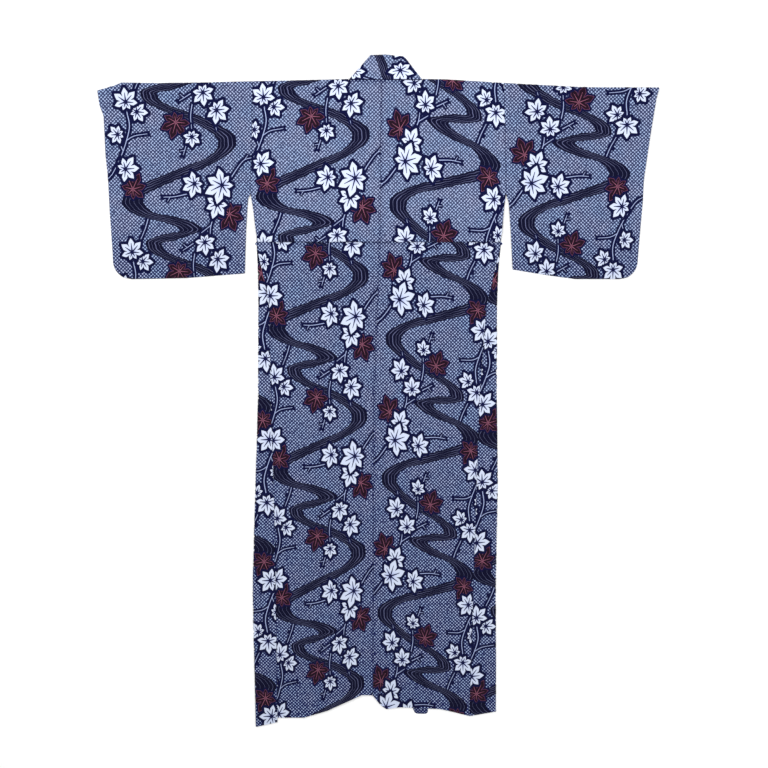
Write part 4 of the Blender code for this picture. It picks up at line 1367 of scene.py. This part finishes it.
def band_half(side):
    """Edges and height of the band's middle, from the centre back to one front end."""
    rest = BAND_FOLD + BAND_BASE
    neck_line = float(fold_start(0.0)) - SEAM_GAP
    top_depth = slant(side)[1][1] + BAND_BASE * 0.3
    seam_end, inward = meet_slant(side, (0.0, neck_line), (1.0, 0.0), rest)
    fold_end, inward = meet_slant(side, (0.0, top_depth), (1.0, 0.0), rest)
    rows = []
    for share in np.linspace(0.0, 1.0, NECK_ROWS + 1)[:-1]:
        start = np.array((COLLAR_MIDDLE, neck_line)) * (1 - share) + seam_end * share
        end = np.array((COLLAR_MIDDLE, COLLAR_TOP)) * (1 - share) + fold_end * share
        rows.append((start, end, BAND_BASE + 2 * BAND_FOLD))
    first = band_edges(side, BAND_START)
    drift = (float(band_line(side, BAND_START) - band_line(side, 0.0)), BAND_START)
    under_start, inward = meet_slant(side, first[0], drift, rest)
    under_end, inward = meet_slant(side, first[1], (0.0, 1.0), rest)
    if under_end[1] < fold_end[1]:
        under_end = fold_end + (seam_end - fold_end) * 0.03
    for share in np.arange(TURN_ROWS + 1) / TURN_ROWS:
        angle = pi * share
        out = inward * BAND_FOLD * sin(angle)
        start = seam_end + (under_start - seam_end) * share - out
        end = fold_end + (under_end - fold_end) * share - out
        rows.append((start, end, BAND_BASE + BAND_FOLD * (1 + cos(angle))))
    for depth in (*BAND_ROWS, *np.linspace(0.25, BAND_END, 24)):
        start, end = band_edges(side, float(depth))
        rows.append((start, end, BAND_BASE))
    return rows


def collar_grid():
    """Outer face of the band: rows from one front end to the other, round its section."""
    left = [(-1, row) for row in reversed(band_half(-1))]
    right = [(1, row) for row in band_half(1)[1:]]
    middles = []
    for side, (start, end, height) in left + right:
        line = []
        for share in np.linspace(0.0, 1.0, BAND_LINES_ACROSS):
            x, depth = start + (end - start) * share
            lift = float(front_lift(x, depth)) if side > 0 and height <= BAND_BASE + 1e-6 else 0.0
            line.append((x, -depth, height + lift))
        middles.append(line)
    middles = np.array(middles)
    along = np.gradient(middles, axis=0)
    across = np.gradient(middles, axis=1)
    normals = np.cross(along, across)
    normals /= np.linalg.norm(normals, axis=2, keepdims=True)
    half = BAND_HALF + BAND_LEAF / 2
    rows = []
    for line, normal in zip(middles, normals):
        outward = line[-1] - line[0]
        outward /= np.linalg.norm(outward)
        centre = line[-1] - outward * (BAND_HALF + 0.0002)
        row = [point + facing * half for point, facing in zip(line[:-1], normal[:-1])]
        for turn in np.linspace(0.0, pi, BAND_LINES_ACROSS):
            row.append(centre + (normal[-1] * cos(turn) + outward * sin(turn)) * half)
        row += [point - facing * half for point, facing in zip(line[:-1], normal[:-1])][::-1]
        rows.append(row)
    return np.array(rows)


def run_length(points):
    """How far along a line each of its points lies."""
    return np.concatenate(((0.0,), np.cumsum(np.linalg.norm(np.diff(points, axis=0), axis=1))))


COLLAR = collar_grid()
COLLAR_ALONG = run_length(COLLAR[:, BAND_LINES_ACROSS // 2])
COLLAR_ALONG -= COLLAR_ALONG[len(COLLAR_ALONG) // 2]
COLLAR_ACROSS = run_length(COLLAR[len(COLLAR) // 2])


def collar_surface(along, across):
    """Places on the band, between the rows and columns of its grid."""
    row = np.interp(along, COLLAR_ALONG, np.arange(len(COLLAR_ALONG)))
    line = np.interp(across, COLLAR_ACROSS, np.arange(len(COLLAR_ACROSS)))
    low_row = np.clip(row.astype(int), 0, len(COLLAR_ALONG) - 2)
    low_line = np.clip(line.astype(int), 0, len(COLLAR_ACROSS) - 2)
    u = (row - low_row)[:, None]
    v = (line - low_line)[:, None]
    first = COLLAR[low_row, low_line] * (1 - v) + COLLAR[low_row, low_line + 1] * v
    second = COLLAR[low_row + 1, low_line] * (1 - v) + COLLAR[low_row + 1, low_line + 1] * v
    return (first * (1 - u) + second * u) * np.array((1, -1, 1))


COLLAR_RISE = float(fold_start(0.0)) - SEAM_GAP - COLLAR_TOP
# How far from its middle the band's seam and its fold meet each slanted fold, and their mean
COLLAR_CORNERS = {}
for side in (LEFT, RIGHT):
    seam_end, fold_end, height = band_half(side)[NECK_ROWS]
    ends = (seam_end[0] - COLLAR_MIDDLE, fold_end[0] - COLLAR_MIDDLE)
    COLLAR_CORNERS[side] = (*ends, sum(ends) / 2)
# The print's place on the band: its line along the seam, its start and its scale across
COLLAR_PRINT = (0.203, 0.201, 0.90)


def collar_place(points):
    """The band is cut along the cloth, so the print runs lengthwise on it, straight across the back neck."""
    a, b = np.asarray(points).T
    line, start, scale = COLLAR_PRINT
    across = (a - line) * scale
    beside = b - start - COLLAR_MIDDLE
    share = np.clip(across / COLLAR_RISE, 0.0, 1.0)
    spans, halves = {}, {}
    for side, (seam_end, fold_end, half) in COLLAR_CORNERS.items():
        spans[side] = seam_end + (fold_end - seam_end) * share
        halves[side] = half
    span = np.where(beside < 0, spans[LEFT], spans[RIGHT])
    half = np.where(beside < 0, halves[LEFT], halves[RIGHT])
    part = beside / span
    along = np.where(part < 1, part * half, half + beside - span)
    return np.stack((along, across), axis=-1)


def collar_cloth(flat, laid, triangles):
    """Cloth coordinates of the band: as laid over the back neck, as unrolled elsewhere."""
    sheet = flat[triangles]
    middle = sheet[:, :, 0].mean(axis=1)
    back = (middle > COLLAR_CORNERS[LEFT][2]) & (middle < COLLAR_CORNERS[RIGHT][2])
    sheet[back] = laid[triangles[back]][:, :, :2] * np.array((1, -1))
    return sheet


COTTON = {word: cotton(f"{word}_cotton") for word in ("body", "overlap", "sleeve", "collar")}


# Each of these is above zero where a shell's faces look the right way
def upward(normals, middles):
    return normals[:, 2].sum()


def downward(normals, middles):
    return -normals[:, 2].sum()


def outward(normals, middles):
    return (normals[:, 2] * (middles[:, 2] - SLEEVE_MIDDLE)).sum()


def band_outward(normals, middles):
    """The leaf that shows at the back neck faces up."""
    at_neck = (abs(middles[:, 0]) < 0.05) & (middles[:, 1] > 0.008)
    return normals[at_neck & (middles[:, 2] > BAND_BASE + 2 * BAND_FOLD), 2].sum()


EXTRA_STEP = 0.008


def make_body(side, word):
    outline = upper_outline(side)
    xs = outline[outline[:, 1] < 0.02][:, 0]
    xs = steps(float(xs.min()), float(xs.max()), EXTRA_STEP)
    xs = [x for x in xs if side * x > side * NECK[side]]
    extra = fold_points(xs, fold_start, lambda x: fold_radius(x) + CLOTH / 2)
    inner = float(centre_seam(TUCK_DEPTH)) + side * 0.003
    low_x = steps(inner, float(back_side(side, TUCK_DEPTH)) - side * 0.003, EXTRA_STEP)
    turns = np.linspace(0.0, 2.6, 7)
    extra += [(x, UPPER_ROLL_START + UPPER_ROLL_RADIUS * turn) for x in low_x for turn in turns]
    upper = partial(placed, f"upper_{word}")
    lower = partial(placed, f"lower_{word}")
    front = partial(front_place, side)
    rolled = roll_points(side)
    parts = [
        cut_panel(outline, upper, partial(upper_surface, side), upward, extra=extra),
        cut_panel(lower_outline(side), lower, partial(lower_surface, side), upward),
        cut_panel(front_outline(side), front, partial(front_surface, side), downward, extra=rolled),
    ]
    return build(f"body_{word}_cloth", parts, COTTON["body"])


def make_sleeve(side, word):
    outline = sleeve_outline(side)
    xs = steps(float(outline[:, 0].min()) + 0.004, float(outline[:, 0].max()) - 0.004, EXTRA_STEP)
    extra = np.array(fold_points(xs, sleeve_fold, lambda x: SLEEVE_RADIUS) + sewn_points(side))
    extra = extra[inside(extra, outline)]
    place = partial(placed, f"sleeve_{word}")
    part = cut_panel(outline, place, partial(sleeve_surface, side), outward, extra=extra)
    return build(f"sleeve_{word}_cloth", [part], COTTON["sleeve"])


def make_overlap(side, word):
    outline = overlap_outline(side)
    place = partial(placed, f"overlap_{word}")

    def leaf(height, x, depth):
        lift = front_lift(x, depth) if side > 0 else 0.0 * x
        return np.stack((x, depth, lift + height), axis=-1)

    parts = [
        cut_panel(outline, place, partial(leaf, CLOTH), upward, rim=CLOTH / 2),
        cut_panel(outline, place, partial(leaf, 0.0), downward, rim=CLOTH / 2),
    ]
    return build(f"overlap_{word}_cloth", parts, COTTON["overlap"])


def make_collar():
    low, high = COLLAR_ALONG[0], COLLAR_ALONG[-1]
    width = COLLAR_ACROSS[-1]
    along = steps(low, high)
    across = steps(0.0, width, ROW_STEP)
    outline = np.concatenate((
        line_of(along, 0.0),
        line_of(high, across)[1:],
        line_of(along[::-1], width)[1:],
        line_of(low, across[::-1])[1:-1],
    ))
    extra = [(t, w) for t in COLLAR_ALONG[1:-1] for w in COLLAR_ACROSS[1:-1]]
    # A thin navy line along the band's seam edge over the back neck is painted shadow, where the band's edge
    # meets the body
    ends = np.linspace(COLLAR_CORNERS[LEFT][0] * 0.97, COLLAR_CORNERS[RIGHT][0] * 0.97, 24)
    seam = np.concatenate((line_of(ends, 0.0001), line_of(ends, 0.0021 + 0.0004 * np.sin(ends * 90))[::-1]))
    part = cut_panel(
        outline, collar_place, collar_surface, band_outward,
        extra=extra, rim=0.0006, seams=[seam], cloth=collar_cloth,
    )
    return build("collar_cloth", [part], COTTON["collar"])


pieces = {}
for side, word in ((LEFT, "left"), (RIGHT, "right")):
    pieces[f"body_{word}"] = make_body(side, word)
    pieces[f"overlap_{word}"] = make_overlap(side, word)
    pieces[f"sleeve_{word}"] = make_sleeve(side, word)
pieces["collar"] = make_collar()

for node, piece in pieces.items():
    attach(piece, "root")
    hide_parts(node)


def matt(name, colour, roughness):
    material = bpy.data.materials.new(name)
    kit = Nodes(material)
    kit.shader.inputs["Base Color"].default_value = (*colour, 1.0)
    kit.shader.inputs["Roughness"].default_value = roughness
    return material


FLOOR_REACH = 6.0
FLOOR_HEIGHT = -0.0002
FLOOR_CORNERS = ((-1, -1), (1, -1), (1, 1), (-1, 1))

ground_mesh = bpy.data.meshes.new("floor")
floor_points = [(x * FLOOR_REACH, y * FLOOR_REACH, FLOOR_HEIGHT) for x, y in FLOOR_CORNERS]
ground_mesh.from_pydata(floor_points, [], [(0, 1, 2, 3)])
ground_mesh.materials.append(matt("floor_white", (0.92, 0.92, 0.92), 0.9))
floor = bpy.data.objects.new("floor", ground_mesh)
bpy.context.scene.collection.objects.link(floor)

world = bpy.data.worlds.new("studio")
world.use_nodes = True
background = world.node_tree.nodes["Background"]
background.inputs[0].default_value = (1.0, 1.0, 1.0, 1.0)
background.inputs[1].default_value = 0.62
bpy.context.scene.world = world


def soft_light(name, place, target, size, power):
    data = bpy.data.lights.new(name, "AREA")
    data.shape = "SQUARE"
    data.size = size
    data.energy = power
    light = bpy.data.objects.new(name, data)
    light.location = place
    light.rotation_euler = (Vector(target) - Vector(place)).to_track_quat("-Z", "Y").to_euler()
    bpy.context.scene.collection.objects.link(light)


soft_light("soft_top", place=(-1.2, 1.9, 3.2), target=(0.0, 0.2, 0.0), size=2.4, power=90.0)
soft_light("soft_side", place=(1.8, -0.4, 3.0), target=(0.0, 0.0, 0.0), size=2.2, power=40.0)

# The photo's width and the camera's focal length, both in its pixels
PHOTO_WIDTH = 768.0
FOCAL_LENGTH = 1080.0
SENSOR_WIDTH = 36.0
CAMERA_AWAY = 2.78
CAMERA_TILT = radians(8.0)
AIM_DEPTH = 0.7625
AIM = np.array((SHIFT[0], SHIFT[1] - AIM_DEPTH, 0.0))
eye = AIM + CAMERA_AWAY * np.array((0.0, sin(CAMERA_TILT), cos(CAMERA_TILT)))
camera_data = bpy.data.cameras.new("photo_camera")
camera_data.sensor_width = SENSOR_WIDTH
camera_data.lens = SENSOR_WIDTH * FOCAL_LENGTH / PHOTO_WIDTH
camera = bpy.data.objects.new("photo_camera", camera_data)
camera.location = eye
camera.rotation_euler = (-CAMERA_TILT, 0.0, 0.0)
bpy.context.scene.collection.objects.link(camera)
bpy.context.scene.camera = camera
bpy.context.scene.view_settings.view_transform = "Standard"
